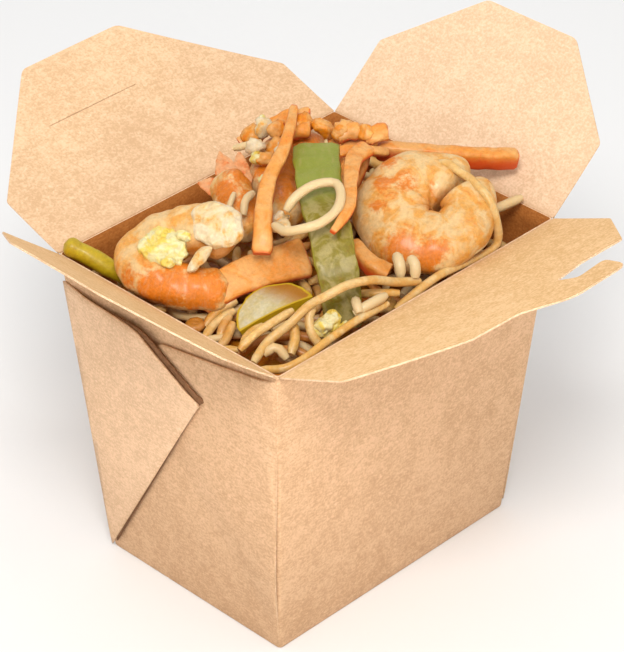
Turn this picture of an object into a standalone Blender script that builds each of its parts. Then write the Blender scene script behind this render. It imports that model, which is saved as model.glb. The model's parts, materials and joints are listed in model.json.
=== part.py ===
"""A folded paperboard takeaway box, standing open, filled with fried noodles, prawns and vegetables.

Metres, +Z up. The origin is the centre of the box's underside. -Y is the wall whose flap carries
the locking tab, +Y the wall whose flap carries the slit for it, and -X and +X are the end walls,
on which the folded corner gussets lie. Food routes are given in millimetres and scaled by MM.
"""

import math

import bmesh
import bpy
from mathutils import Matrix, Vector
from mathutils.bvhtree import BVHTree

MM = 0.001

# The box.
RIM = (108 * MM, 85 * MM)
BASE = (92.5 * MM, 68.3 * MM)
HEIGHT = 100 * MM
BOARD = 0.6 * MM
RIM_DROP = 0.4 * MM
GUSSET_LAYER = 1.0 * MM
GUSSET_ROOT = 0.3 * MM

# The flaps: plates that turn about the rim.
HINGE_OUT = 0.3 * MM
HINGE_LINE = 0.4 * MM
FLAP_BOARD = 0.5 * MM
SIDE_TRIM = 0.25 * MM
FRONT_RISE = 24.0
BACK_RISE = 20.0
END_RISE = 40.0
SLIT_LENGTH = 33 * MM
SLIT_WIDTH = 0.9 * MM
SLIT_REACH = 37.6 * MM

# The noodle heap.
GAP = 0.35 * MM
HEAP_CELLS = (34, 27)
HEAP_EDGE = 92 * MM
HEAP_CROWN = 12 * MM

# Directions that the pieces of food face.
ACROSS = Vector((0.705, -0.709, 0.0))
RISING = Vector((0.45, 0.45, 0.77))
UP = Vector((0.0, 0.0, 1.0))
BIG_CURL = Vector((-0.31, -0.23, 0.92))
LEFT_CURL = Vector((-0.48, -0.26, 0.84))
BACK_CURL = Vector((-0.30, -0.25, 0.92))


def clear_scene():
    for obj in list(bpy.data.objects):
        bpy.data.objects.remove(obj, do_unlink=True)


def material(name, colour, roughness):
    mat = bpy.data.materials.new(name)
    mat.use_nodes = True
    shader = mat.node_tree.nodes["Principled BSDF"]
    shader.inputs["Base Color"].default_value = (*colour, 1.0)
    shader.inputs["Roughness"].default_value = roughness
    shader.inputs["Metallic"].default_value = 0.0
    return mat


def add_object(name, bm, mat):
    bmesh.ops.recalc_face_normals(bm, faces=bm.faces[:])
    mesh = bpy.data.meshes.new(name)
    bm.to_mesh(mesh)
    bm.free()
    mesh.materials.append(mat)
    obj = bpy.data.objects.new(name, mesh)
    bpy.context.scene.collection.objects.link(obj)
    return obj


def boolean(obj, tool, operation):
    """Joins a hidden tool object to obj, or cuts it away."""
    tool.hide_render = True
    tool.display_type = "WIRE"
    cut = obj.modifiers.new(operation.title(), "BOOLEAN")
    cut.operation = operation
    cut.object = tool
    cut.solver = "EXACT"
    cut.use_self = True


# ---------------------------------------------------------------- the box


def half_sizes(z, inset=0.0):
    """Half the outside width and depth of the tapered box at height z, less an inset."""
    t = z / HEIGHT
    return tuple((b + (r - b) * t) / 2 - inset for b, r in zip(BASE, RIM))


def box_ring(bm, z, inset):
    hx, hy = half_sizes(z, inset)
    return [bm.verts.new((sx * hx, sy * hy, z)) for sx, sy in ((-1, -1), (1, -1), (1, 1), (-1, 1))]


def skin(bm, lower, upper):
    count = len(lower)
    for i in range(count):
        j = (i + 1) % count
        bm.faces.new((lower[i], lower[j], upper[j], upper[i]))


def carton_shell(board):
    """The base and the four tapered walls, open at the top."""
    bm = bmesh.new()
    top = HEIGHT - RIM_DROP
    rings = [
        box_ring(bm, 0.0, 0.0),
        box_ring(bm, top, 0.0),
        box_ring(bm, top, BOARD),
        box_ring(bm, BOARD, BOARD),
    ]
    for lower, upper in zip(rings, rings[1:]):
        skin(bm, lower, upper)
    bm.faces.new(rings[0][::-1])
    bm.faces.new(rings[-1])
    return add_object("carton", bm, board)


def gusset(name, outline, thickness, board):
    """A folded layer on the -X wall: outline holds (distance from the +Y rim corner, height)."""
    bm = bmesh.new()
    lean = math.atan2((RIM[0] - BASE[0]) / 2, HEIGHT)
    outward = Vector((-math.cos(lean), 0.0, -math.sin(lean)))
    layers = []
    for offset in (-GUSSET_ROOT, thickness):
        ring = []
        for along, height in outline:
            hx, _ = half_sizes(height)
            point = Vector((-hx, RIM[1] / 2 - along, height)) + outward * offset
            ring.append(bm.verts.new(point))
        layers.append(ring)
    skin(bm, *layers)
    bm.faces.new(layers[0][::-1])
    bm.faces.new(layers[1])
    return add_object(name, bm, board)


def add_gussets(carton, board):
    """Each end wall carries two corner gussets, the second one tucked under the first."""
    depth = RIM[1]
    shown = rounded([
        (9.2 * MM, 1.0 * MM, 0),
        (55.9 * MM, 76.6 * MM, 2.0 * MM),
        (35.4 * MM, 89.4 * MM, 2.5 * MM),
        (28.0 * MM, 90.9 * MM, 1.0 * MM),
        (1.2 * MM, 91.5 * MM, 0),
    ])
    tucked = rounded([
        (depth - 9.0 * MM, 0.6 * MM, 0),
        (depth - 1.2 * MM, 95.0 * MM, 0),
        (38.9 * MM, 88.0 * MM, 3.0 * MM),
        (25.5 * MM, 67.7 * MM, 2.0 * MM),
    ])
    for end in (0, 1):
        for label, outline, layers in (("shown", shown, 2), ("tucked", tucked, 1)):
            tool = gusset(f"tool_{label}_{end}", outline, layers * GUSSET_LAYER, board)
            tool.rotation_euler.z = end * math.pi
            boolean(carton, tool, "UNION")


# ---------------------------------------------------------------- the flaps


def rounded(corners, steps=3):
    """The outline through (x, y, radius) corners, each turned into an arc of that radius."""
    outline = []
    for i, (x, y, radius) in enumerate(corners):
        here = Vector((x, y))
        before = Vector(corners[i - 1][:2]) - here
        after = Vector(corners[(i + 1) % len(corners)][:2]) - here
        if not radius:
            outline.append((here.x, here.y))
            continue
        half = before.angle(after) / 2
        reach = radius / math.tan(half)
        start = here + before.normalized() * reach
        end = here + after.normalized() * reach
        for k in range(steps + 1):
            t = k / steps
            point = start * (1 - t) ** 2 + here * 2 * t * (1 - t) + end * t ** 2
            outline.append((point.x, point.y))
    return outline


def mm_corners(corners):
    return [(x * MM, y * MM, radius * MM) for x, y, radius in corners]


def hexagon_flap(width, side, shoulder, reach):
    """Straight sides, then slanted shoulders up to a flat top edge."""
    half = width / 2
    return rounded([
        (-half, HINGE_LINE, 0),
        (half, HINGE_LINE, 0),
        (half, side, 2 * MM),
        (half - shoulder, reach, 4 * MM),
        (-half + shoulder, reach, 4 * MM),
        (-half, side, 2 * MM),
    ])


def tab_flap():
    """The front flap: a slanted left shoulder, a hooked tab beside the middle and its notch."""
    half = RIM[0] / 2 - SIDE_TRIM
    return rounded([(-half, HINGE_LINE, 0), (half, HINGE_LINE, 0)] + mm_corners([
        (53.75, 22.0, 2.5),
        (38.3, 40.4, 2.5),
        (22.0, 40.2, 6.0),
        (9.4, 42.6, 1.2),
        (11.5, 49.0, 2.0),
        (23.6, 47.2, 1.6),
        (20.0, 59.0, 6.0),
        (-1.5, 59.6, 8.0),
        (-11.7, 48.9, 3.0),
        (-27.9, 46.9, 2.5),
        (-53.75, 24.6, 1.5),
    ]))


def flap(name, outline, place, turn, rise, board):
    """A plate whose origin is its hinge; turn points it away from its wall, rise lifts it."""
    bm = bmesh.new()
    layers = []
    for offset in (-FLAP_BOARD / 2, FLAP_BOARD / 2):
        layers.append([bm.verts.new((x, y, offset)) for x, y in outline])
    skin(bm, *layers)
    bm.faces.new(layers[0][::-1])
    bm.faces.new(layers[1])
    obj = add_object(name, bm, board)
    spin = Matrix.Rotation(math.radians(turn), 4, "Z")
    lift = Matrix.Rotation(math.radians(rise), 4, "X")
    obj.matrix_world = Matrix.Translation(place) @ spin @ lift
    return obj


def add_flaps(board):
    """Turn 0 points a flap along +Y, so the outlines run mirrored on the front flap."""
    out_x = RIM[0] / 2 + HINGE_OUT
    out_y = RIM[1] / 2 + HINGE_OUT
    end = hexagon_flap(RIM[1] - 2 * SIDE_TRIM, 24.6 * MM, 25.5 * MM, 49 * MM)
    back = hexagon_flap(RIM[0] - 2 * SIDE_TRIM, 22 * MM, 35.5 * MM, 58 * MM)
    front = [(-x, y) for x, y in tab_flap()][::-1]
    flap("flap_front", front, (0, -out_y, HEIGHT), 180, FRONT_RISE, board)
    slotted = flap("flap_back", back, (0, out_y, HEIGHT), 0, BACK_RISE, board)
    flap("flap_left", end, (-out_x, 0, HEIGHT), 90, END_RISE, board)
    flap("flap_right", end, (out_x, 0, HEIGHT), -90, END_RISE, board)
    bm = bmesh.new()
    bmesh.ops.create_cube(bm, size=1.0)
    tool = add_object("tool_slit", bm, board)
    size = Matrix.Diagonal((SLIT_LENGTH, SLIT_WIDTH, 4 * FLAP_BOARD, 1.0))
    tool.data.transform(Matrix.Translation((-8.5 * MM, SLIT_REACH, 0)) @ size)
    tool.matrix_world = slotted.matrix_world
    boolean(slotted, tool, "DIFFERENCE")


# ---------------------------------------------------------------- food shapes


def route(points, count):
    """A smooth curve through points given in millimetres, read at evenly spaced parameters."""
    knots = [Vector(p) * MM for p in points]
    knots = [2 * knots[0] - knots[1], *knots, 2 * knots[-1] - knots[-2]]
    spans = len(knots) - 3
    out = []
    for k in range(count):
        s = min(k / (count - 1) * spans, spans - 1e-6)
        i = int(s)
        t = s - i
        a, b, c, d = knots[i:i + 4]
        out.append(0.5 * (2 * b + (c - a) * t + (2 * a - 5 * b + 4 * c - d) * t ** 2
                          + (3 * b - a - 3 * c + d) * t ** 3))
    return out


def round_end(t, cap):
    """How far a piece has swelled at t, from 0 at either end to 1 past the cap."""
    near = min(t, 1 - t) / cap
    return math.sqrt(max(1 - (1 - min(near, 1.0)) ** 2, 0.0))


def sweep(path, across, widths, bulge=2.0, sides=12, grow=0.0):
    """A closed body along path; widths(t) gives its half width and half thickness there."""
    bm = bmesh.new()
    rings = []
    last = len(path) - 1
    for i, point in enumerate(path):
        along = (path[min(i + 1, last)] - path[max(i - 1, 0)]).normalized()
        side = (across - along * across.dot(along)).normalized()
        over = along.cross(side)
        half_width, half_thick = (w + grow for w in widths(i / last))
        ring = []
        for k in range(sides):
            angle = 2 * math.pi * (k + 0.5) / sides
            c, s = math.cos(angle), math.sin(angle)
            c = math.copysign(abs(c) ** (2 / bulge), c)
            s = math.copysign(abs(s) ** (2 / bulge), s)
            ring.append(bm.verts.new(point + side * half_width * c + over * half_thick * s))
        rings.append(ring)
    for lower, upper in zip(rings, rings[1:]):
        skin(bm, lower, upper)
    bm.faces.new(rings[0][::-1])
    bm.faces.new(rings[-1])
    return bm


def strip_widths(width, thick, tip=1.0, tail=1.0, cap=0.04):
    """A strip whose width runs from tip to tail times its full width, with eased ends."""
    def widths(t):
        ease = max(round_end(t, cap), 0.45)
        scale = tip + (tail - tip) * t
        return width / 2 * MM * scale * ease, thick / 2 * MM * ease
    return widths


def prawn_widths(radius, tail, segments=6, depth=0.07, cap=0.16, flat=1.0):
    """A prawn's body: full near its head end, tapering to the tail, pinched between segments."""
    def widths(t):
        taper = 1 + (tail - 1) * t ** 1.6
        pinch = 1 - depth * abs(math.cos(math.pi * segments * t)) ** 4
        size = radius * MM * taper * pinch * max(round_end(t, cap), 0.3)
        return size, size * flat
    return widths


def coil(centre, normal, start, radius, turn_from, turn_to, count):
    """A flat curl about centre; radius(t) is its distance from it, start points to angle 0."""
    x_axis = (start - normal * start.dot(normal)).normalized()
    y_axis = normal.cross(x_axis)
    points = []
    for k in range(count):
        t = k / (count - 1)
        angle = math.radians(turn_from + (turn_to - turn_from) * t)
        reach = radius(t) * MM
        points.append(centre + (x_axis * math.cos(angle) + y_axis * math.sin(angle)) * reach)
    return points


def lump(centre, size, seed, grow=0.0):
    """An uneven rounded chunk, such as a piece of scrambled egg."""
    bm = bmesh.new()
    bmesh.ops.create_icosphere(bm, subdivisions=2, radius=1.0)
    for vert in bm.verts:
        p = vert.co.copy()
        wave = 0.10 * math.sin(3.1 * p.x + seed) + 0.10 * math.sin(3.7 * p.y - 2 * seed)
        wave += 0.08 * math.sin(4.3 * p.z + 3 * seed)
        vert.co = [c + k * (s / 2 * MM * (1 + wave) + grow)
                   for c, k, s in zip(Vector(centre) * MM, p, size)]
    return bm


def half_moon(chord_from, chord_to, towards, bulge, thick, steps=12):
    """A slice cut in half: a straight edge between two points, an arc on the other side."""
    start, end = Vector(chord_from) * MM, Vector(chord_to) * MM
    middle = (start + end) / 2
    along = (end - start) / 2
    rise = (Vector(towards) - Vector(towards).dot(along) / along.length_squared * along)
    rise = rise.normalized() * bulge * MM
    normal = along.cross(rise).normalized()
    bm = bmesh.new()
    layers = []
    for offset in (-0.5, 0.5):
        ring = []
        for k in range(steps + 1):
            angle = math.pi * k / steps
            edge = middle - along * math.cos(angle) + rise * math.sin(angle)
            ring.append(bm.verts.new(edge + normal * offset * thick * MM))
        layers.append(ring)
    skin(bm, *layers)
    bm.faces.new(layers[0][::-1])
    bm.faces.new(layers[1])
    return bm


# ---------------------------------------------------------------- the food


def curled_prawn(path, normal, radius, tail, flat, segments, cap, grow):
    """A prawn curled in the plane across normal; flat is its thickness along that normal."""
    widths = prawn_widths(radius, tail, segments, cap=cap)
    return sweep(path, normal, lambda t: (widths(t)[0] * flat, widths(t)[0]), grow=grow)


def prawn_big_body(grow=0.0):
    normal = BIG_CURL.normalized()
    path = coil(Vector((21.3, -24.6, 109.4)) * MM, normal, ACROSS,
                lambda t: 11.6 - 1.6 * t ** 2, 60, 392, 34)
    return curled_prawn(path, normal, 9.6, 0.55, 0.78, 7, 0.07, grow)


def prawn_left_body(grow=0.0):
    path = route([(-24.5, 1.5, 109.5), (-30, 11, 110.5), (-37, 19.5, 107), (-44, 20, 104),
                  (-45.6, 13, 102.6), (-42, 6, 102), (-35.5, 1.5, 101.6)], 30)
    return curled_prawn(path, LEFT_CURL.normalized(), 6.9, 0.85, 0.95, 6, 0.14, grow)


def prawn_back_body(grow=0.0):
    path = route([(26, 19, 111), (15, 24, 109), (6, 20, 107), (2, 12, 104), (0, 6, 99)], 24)
    return curled_prawn(path, BACK_CURL.normalized(), 7.2, 0.75, 0.95, 5, 0.16, grow)


def add_prawns(flesh):
    add_object("prawn_big", prawn_big_body(), flesh)
    add_object("prawn_left", prawn_left_body(), flesh)
    add_object("prawn_back", prawn_back_body(), flesh)
    body = route([(-4.8, 27.5, 110.5), (-6.6, 23.5, 108.5), (-8.8, 18.5, 106), (-11, 13.5, 103),
                  (-12, 10, 99)], 16)
    tail = add_object("prawn_tail", sweep(body, ACROSS, prawn_widths(6.0, 0.9, 3, cap=0.3),
                                          sides=10), flesh)
    fins = {
        "middle": [(-5.5, 24.5, 109), (-3.5, 29.5, 112.5), (-2, 32.5, 114.5)],
        "left": [(-7.5, 24, 108), (-10.5, 27.5, 109), (-12.5, 30.5, 109.5)],
        "right": [(-4, 22.5, 109), (0, 26.5, 112.5), (1.5, 28.5, 114.5)],
    }
    for label, points in fins.items():
        blade = lambda t: (2.6 * MM * (1.1 - t), 1.0 * MM * (1.1 - t))
        tool = add_object(f"tool_fin_{label}", sweep(route(points, 6), ACROSS, blade, sides=8),
                          flesh)
        boolean(tail, tool, "UNION")


def add_egg(yellow):
    """Scrambled egg resting on the left prawn, cut to the prawn's shape where it lies on it."""
    pieces = {
        "egg_left": ((-42.5, 12.5, 110.5), (13, 15, 8), 0.7),
        "egg_middle": ((-30.8, 3.4, 115.0), (11, 11, 7), 2.1),
    }
    for name, (centre, size, seed) in pieces.items():
        chunk = add_object(name, lump(centre, size, seed), yellow)
        tool = add_object(f"tool_{name}", prawn_left_body(GAP), yellow)
        boolean(chunk, tool, "DIFFERENCE")


def add_vegetables(carrot, pepper, marrow, bean):
    strips = {
        "carrot_upright": ([(17, 22, 124.5), (8.5, 15.5, 123.5), (0.2, 10, 122.2), (-8, 6.3, 120),
                            (-16, 0.5, 117.5), (-22.5, -5.5, 114.5), (-26, -8.5, 110)],
                           strip_widths(5.4, 4.2, tip=0.45, tail=1.05)),
        "carrot_rim": ([(30, 2.5, 112), (38, -6.5, 111.3), (48, -17, 110), (58.5, -25, 108.5)],
                       strip_widths(5.4, 4.6, tip=0.8, tail=0.95)),
        "carrot_curl": ([(22, -1.5, 119.5), (13, -5, 121), (4, -12.5, 121), (-4, -20, 120.5),
                         (-11, -23.5, 120), (-15.5, -24.5, 119)],
                        strip_widths(4.2, 2.4, tip=1.3, tail=0.55)),
        "carrot_wedge": ([(0.5, -17, 104.5), (-1.5, -22, 104), (-1.5, -26, 102.5),
                          (0.5, -30, 100.5)],
                         strip_widths(6.0, 4.5, tip=0.6, tail=1.0)),
        "carrot_slice": ([(-32.3, -1.6, 99.5), (-27, -3.5, 101), (-19, -7.5, 102.6),
                          (-12, -11.5, 103.8)],
                         strip_widths(10.5, 3.0, tip=0.8, tail=1.0)),
        "carrot_slab": ([(28, 11.5, 115.5), (21, 4.5, 113.5), (13.5, 0.5, 110), (9, -2.5, 105)],
                        strip_widths(12.5, 3.6, tip=1.0, tail=0.75)),
        "pepper_strip": ([(12.5, 9.5, 119.5), (4, 1, 119), (-4, -8, 117.5), (-11, -17, 115),
                          (-16, -23, 111.5), (-19, -27, 106), (-20.5, -29.5, 99),
                          (-21, -31, 94)],
                         strip_widths(14, 2.4, tip=0.95, tail=0.75)),
    }
    for name, (points, widths) in strips.items():
        facing = RISING if name in ("carrot_slice", "carrot_rim") else ACROSS
        body = sweep(route(points, 3 * len(points)), facing, widths, bulge=5.0, sides=8)
        add_object(name, body, pepper if name == "pepper_strip" else carrot)
    for number, centre in enumerate([(15.5, 19.5, 119.5), (24.5, 8.5, 119.5), (29, 2.5, 119.2)]):
        add_object(f"carrot_cube_{number}", lump(centre, (7.5, 6.5, 4.5), number), carrot)
    pod = route([(-52.3, 40.3, 102.6), (-49.5, 35.5, 100), (-45.5, 30, 96.5), (-41, 25, 93.5)], 12)
    add_object("green_bean", sweep(pod, ACROSS, lambda t: (2.9 * MM * max(round_end(t, 0.18), 0.3),)
                                   * 2, sides=10), bean)
    moon = half_moon((-41, -15.2, 94.8), (-22.4, -23.6, 101.9), (2, 9.5, 1.5), 10.5, 4.2)
    add_object("courgette_slice", moon, marrow)


# ---------------------------------------------------------------- the noodles


def heap_height(x, y):
    """The noodles' uneven top, in metres: a crown in the middle, lower along the +X wall."""
    x, y = x / MM, y / MM
    crown = math.exp(-((x - 2) / 32) ** 2 - ((y - 4) / 27) ** 2)
    hollow = math.exp(-((x - 50) / 13) ** 2 - ((y + 16) / 26) ** 2)
    gully = math.exp(-((x + 26) / 26) ** 2 - ((y - 38) / 8) ** 2)
    ripple = math.sin(0.42 * x + 0.6 * math.sin(0.31 * y)) * math.sin(0.47 * y + 0.9)
    height = HEAP_EDGE + HEAP_CROWN * crown
    return height + (1.3 * ripple - 9 * hollow - 5 * gully) * MM


def underside(toppings, x, y, cell):
    """The lowest point of any topping over a cell around (x, y), or None."""
    lowest = None
    for dx in (-cell, -cell / 2, 0, cell / 2, cell):
        for dy in (-cell, -cell / 2, 0, cell / 2, cell):
            for tree in toppings:
                hit = tree.ray_cast(Vector((x + dx, y + dy, -HEIGHT)), UP)[0]
                if hit is not None and (lowest is None or hit.z < lowest):
                    lowest = hit.z
    return lowest


def add_heap(noodle, toppings):
    """A grid over the whole inside of the box, dipping under each topping that rests on it."""
    bpy.context.view_layer.update()
    graph = bpy.context.evaluated_depsgraph_get()
    trees = [BVHTree.FromObject(obj, graph) for obj in toppings]
    columns, rows = HEAP_CELLS
    cell = RIM[0] / columns
    floor = BOARD + GAP
    bm = bmesh.new()
    grid = []
    for i in range(columns + 1):
        line = []
        for j in range(rows + 1):
            u, v = 2 * i / columns - 1, 2 * j / rows - 1
            hx, hy = half_sizes(HEAP_EDGE, BOARD + GAP)
            z = heap_height(u * hx, v * hy)
            over = underside(trees, u * hx, v * hy, cell)
            if over is not None:
                z = min(z, over - GAP)
            hx, hy = half_sizes(z, BOARD + GAP)
            line.append(bm.verts.new((u * hx, v * hy, z)))
        grid.append(line)
    for i in range(columns):
        for j in range(rows):
            bm.faces.new((grid[i][j], grid[i + 1][j], grid[i + 1][j + 1], grid[i][j + 1]))
    edge = [line[0] for line in grid] + grid[-1][1:-1] + [line[-1] for line in grid[::-1]]
    edge += grid[0][-2:0:-1]
    hx, hy = half_sizes(floor, BOARD + GAP)
    corners = {}
    for vert in edge:
        u = max(-1.0, min(1.0, vert.co.x / half_sizes(vert.co.z, BOARD + GAP)[0]))
        v = max(-1.0, min(1.0, vert.co.y / half_sizes(vert.co.z, BOARD + GAP)[1]))
        corners[vert] = bm.verts.new((u * hx, v * hy, floor))
    feet = [corners[vert] for vert in edge]
    skin(bm, feet, edge)
    bm.faces.new(feet[::-1])
    add_object("noodle_heap", bm, noodle)


def main():
    clear_scene()
    board = material("kraft_board", (0.62, 0.40, 0.23), 0.85)
    flesh = material("prawn_flesh", (0.86, 0.50, 0.27), 0.35)
    carrot = material("carrot", (0.85, 0.26, 0.05), 0.4)
    pepper = material("green_pepper", (0.30, 0.38, 0.12), 0.4)
    marrow = material("courgette", (0.45, 0.45, 0.14), 0.4)
    bean = material("green_bean", (0.40, 0.38, 0.06), 0.45)
    egg = material("scrambled_egg", (0.85, 0.60, 0.18), 0.5)
    noodle = material("noodles", (0.72, 0.50, 0.24), 0.45)
    carton = carton_shell(board)
    add_gussets(carton, board)
    add_flaps(board)
    before = set(bpy.data.objects)
    add_prawns(flesh)
    add_egg(egg)
    add_vegetables(carrot, pepper, marrow, bean)
    toppings = [o for o in bpy.data.objects if o not in before and not o.hide_render]
    add_heap(noodle, toppings)


main()
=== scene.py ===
# %% [markdown]
# # A takeaway box of fried noodles
# The box is one sheet of brown paperboard, folded up and held by two corner gussets on each end
# wall. Its four flaps stand open. The food is a heap of loose noodles with prawns, egg and cut
# vegetables on it. The frame gives every node's place, so each piece below is made where it belongs.

# %% Load the frame
import json
import math

import bmesh
import bpy
import numpy as np
from mathutils import Matrix, Vector, noise
from mathutils.bvhtree import BVHTree
from mathutils.kdtree import KDTree


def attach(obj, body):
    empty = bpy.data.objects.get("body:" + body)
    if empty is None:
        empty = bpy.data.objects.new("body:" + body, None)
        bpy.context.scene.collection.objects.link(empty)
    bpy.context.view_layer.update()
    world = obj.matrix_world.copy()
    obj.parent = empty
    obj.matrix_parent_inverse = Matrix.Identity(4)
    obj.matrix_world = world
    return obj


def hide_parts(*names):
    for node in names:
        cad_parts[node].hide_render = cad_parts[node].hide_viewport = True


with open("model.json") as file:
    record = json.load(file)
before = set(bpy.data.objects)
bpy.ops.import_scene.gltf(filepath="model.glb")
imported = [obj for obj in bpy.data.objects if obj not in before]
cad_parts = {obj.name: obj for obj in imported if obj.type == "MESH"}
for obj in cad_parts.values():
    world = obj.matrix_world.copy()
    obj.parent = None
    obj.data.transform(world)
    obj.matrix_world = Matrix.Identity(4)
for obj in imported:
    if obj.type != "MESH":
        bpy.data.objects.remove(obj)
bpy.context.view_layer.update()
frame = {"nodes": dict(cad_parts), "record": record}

MM = 0.001

# %% [markdown]
# ## Sizes that drive the rest
# The frame already holds the carton and the creases of its flaps, so the rim, the base and the
# height are read from it instead of being typed again. Each crease lies just outside its wall.

# %% Sizes read from the frame
HINGES = {j["child"]: Vector(j["pos_m"]) for j in frame["record"]["behaviour"]["joints"]}
HINGE_OUT = 0.3 * MM
HEIGHT = HINGES["flap_front"].z
RIM = Vector((HINGES["flap_right"].x - HINGE_OUT, HINGES["flap_back"].y - HINGE_OUT))
feet = [v.co for v in frame["nodes"]["carton"].data.vertices if v.co.z < 0.01 * MM]
BASE = Vector((max(v.x for v in feet), max(v.y for v in feet)))
BOARD = 0.5 * MM
print("rim and base half sizes in mm:", [round(s / MM, 2) for s in (*RIM, *BASE)])

# %% [markdown]
# ## Camera and light
# A long lens from far off keeps the box's edges nearly parallel. The light is that of a light tent:
# one broad lamp and a bright surround, so that shadows are short and soft.

# %% Camera
AZIMUTH, ELEVATION, ROLL = (math.radians(a) for a in (45.17, 34.03, -0.32))
TARGET = Vector((21.8, 20.25, 50.0)) * MM
DISTANCE = 949.8 * MM
LENS = 188.0


def put(name, data):
    """Links a new object for some data into the scene."""
    obj = bpy.data.objects.new(name, data)
    bpy.context.scene.collection.objects.link(obj)
    return obj


look = Vector((math.sin(AZIMUTH) * math.cos(ELEVATION), math.cos(AZIMUTH) * math.cos(ELEVATION),
               -math.sin(ELEVATION)))
camera = put("camera", bpy.data.cameras.new("camera"))
camera.data.lens = LENS
camera.data.sensor_fit = "HORIZONTAL"
camera.location = TARGET - look * DISTANCE
turn = look.to_track_quat("-Z", "Y").to_matrix().to_4x4()
camera.rotation_euler = (turn @ Matrix.Rotation(ROLL, 4, "Z")).to_euler()
camera.data.clip_start = 0.05
bpy.context.scene.camera = camera
print("camera", round(DISTANCE / MM), "mm from the box")

# %% [markdown]
# The key lamp stands high on the left. A weak fill stands low in front and is aimed in a narrow cone
# at the front walls, which the open flaps shade. The surround is plain white.

# %% Lamps and surround
def lamp(name, place, size, watts, tint, aim=TARGET, spread=math.pi):
    light = bpy.data.lights.new(name, "AREA")
    light.shape = "DISK"
    light.size = size
    light.energy = watts
    light.color = tint
    light.spread = spread
    obj = put(name, light)
    obj.location = place
    obj.rotation_euler = (Vector(aim) - Vector(place)).to_track_quat("-Z", "Y").to_euler()
    print("lamp", name, "gives", watts, "W")


lamp("key", (-0.52, -0.46, 0.95), 0.36, 9.0, (1.0, 0.975, 0.94))
lamp("fill", (-0.40, -0.86, 0.20), 0.20, 0.045, (1.0, 0.985, 0.96), (-0.02, -0.03, 0.105),
     math.radians(20))

world = bpy.data.worlds.new("surround")
bpy.context.scene.world = world
world.use_nodes = True
surround = world.node_tree.nodes["Background"].inputs
surround["Color"].default_value = (1.0, 1.0, 1.0, 1.0)
surround["Strength"].default_value = 0.86
bpy.context.scene.view_settings.view_transform = "Standard"

# %% [markdown]
# ## Small helpers for shader trees
# Each finish below is a short tree. `add` makes one node and sets or links its inputs, so that a
# tree reads as a list of its nodes. The rest are the few steps that every finish repeats.

# %% Shader helpers
def add(tree, kind, inputs=(), **settings):
    made = tree.nodes.new(kind)
    for key, value in settings.items():
        setattr(made, key, value)
    for key, value in dict(inputs).items():
        if isinstance(value, bpy.types.NodeSocket):
            tree.links.new(value, made.inputs[key])
        else:
            made.inputs[key].default_value = value
    return made


def new_finish(name):
    made = bpy.data.materials.new(name)
    made.use_nodes = True
    tree = made.node_tree
    return made, tree, tree.nodes["Principled BSDF"]


def use_group(tree, group, inputs):
    return add(tree, "ShaderNodeGroup", inputs, node_tree=group).outputs


def group_ends(group, inputs, outputs):
    """Declares a node group's sockets and returns its input and output nodes."""
    for direction, names in (("INPUT", inputs), ("OUTPUT", outputs)):
        for name, socket in names:
            group.interface.new_socket(name, in_out=direction, socket_type=socket)
    return group.nodes.new("NodeGroupInput"), group.nodes.new("NodeGroupOutput")


print("node helpers ready")

# %% [markdown]
# Most trees need the same few steps: mix two colours, turn a value into a mask, make noise, and
# read a number that the mesh carries.

# %% Colours and masks
def mix(tree, factor, low, high, blend="MIX"):
    """Mixes two colours or links; returns the colour output."""
    made = add(tree, "ShaderNodeMix", {0: factor, 6: low, 7: high},
               data_type="RGBA", blend_type=blend)
    return made.outputs[2]


def maths(tree, operation, a, b=0.0):
    return add(tree, "ShaderNodeMath", {0: a, 1: b}, operation=operation).outputs[0]


def ramp(tree, value, low, high):
    """0 below low, 1 above high, eased between them."""
    made = add(tree, "ShaderNodeMapRange", {"Value": value, "From Min": low, "From Max": high},
               interpolation_type="SMOOTHSTEP")
    return made.outputs["Result"]


def fall(tree, value, low, high):
    """1 below low, 0 above high, eased between them."""
    return ramp(tree, maths(tree, "MULTIPLY", value, -1.0), -high, -low)


def speckle(tree, vector, scale, detail=2.0, rough=0.5, distort=0.0):
    made = add(tree, "ShaderNodeTexNoise", {"Vector": vector, "Scale": scale, "Detail": detail,
                                            "Roughness": rough, "Distortion": distort})
    return made.outputs["Fac"]


def painted(tree, name):
    """A number that the mesh carries at each of its points."""
    return add(tree, "ShaderNodeAttribute", attribute_name=name).outputs["Fac"]


def tint(colour):
    return (*colour, 1.0)


print("colour helpers ready")

# %% [markdown]
# ## Kraft paperboard
# Brown kraft is made of long wood fibres, so it is never one flat tan: it has soft clouds a few
# centimetres wide, a mottle of millimetres, and fine pale and dark fibres. One node group gives
# that tone and a fine relief, and each board finish sets its own two browns.

# %% Fibre group
fibres = bpy.data.node_groups.new("kraft_fibres", "ShaderNodeTree")
inward, outward = group_ends(fibres, [("Vector", "NodeSocketVector")],
                             [("Tone", "NodeSocketFloat"), ("Fleck", "NodeSocketFloat"),
                              ("Height", "NodeSocketFloat")])
where = inward.outputs["Vector"]
lengthened = add(fibres, "ShaderNodeMapping", {"Vector": where, "Scale": (1.0, 1.0, 2.6)})
clouds = speckle(fibres, where, 34.0, 2.0)
mottle = speckle(fibres, where, 190.0, 3.0, 0.6)
threads = speckle(fibres, lengthened.outputs[0], 620.0, 4.0, 0.65, 0.6)
grain = speckle(fibres, where, 1500.0, 2.0)
tone = maths(fibres, "MULTIPLY", clouds, 0.12)
for share, layer in ((0.20, mottle), (0.36, threads), (0.32, grain)):
    tone = add(fibres, "ShaderNodeMath", {0: layer, 1: share, 2: tone},
               operation="MULTIPLY_ADD").outputs[0]
fibres.links.new(tone, outward.inputs["Tone"])
fibres.links.new(ramp(fibres, threads, 0.60, 0.74), outward.inputs["Fleck"])
fibres.links.new(maths(fibres, "ADD", threads, grain), outward.inputs["Height"])
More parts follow.
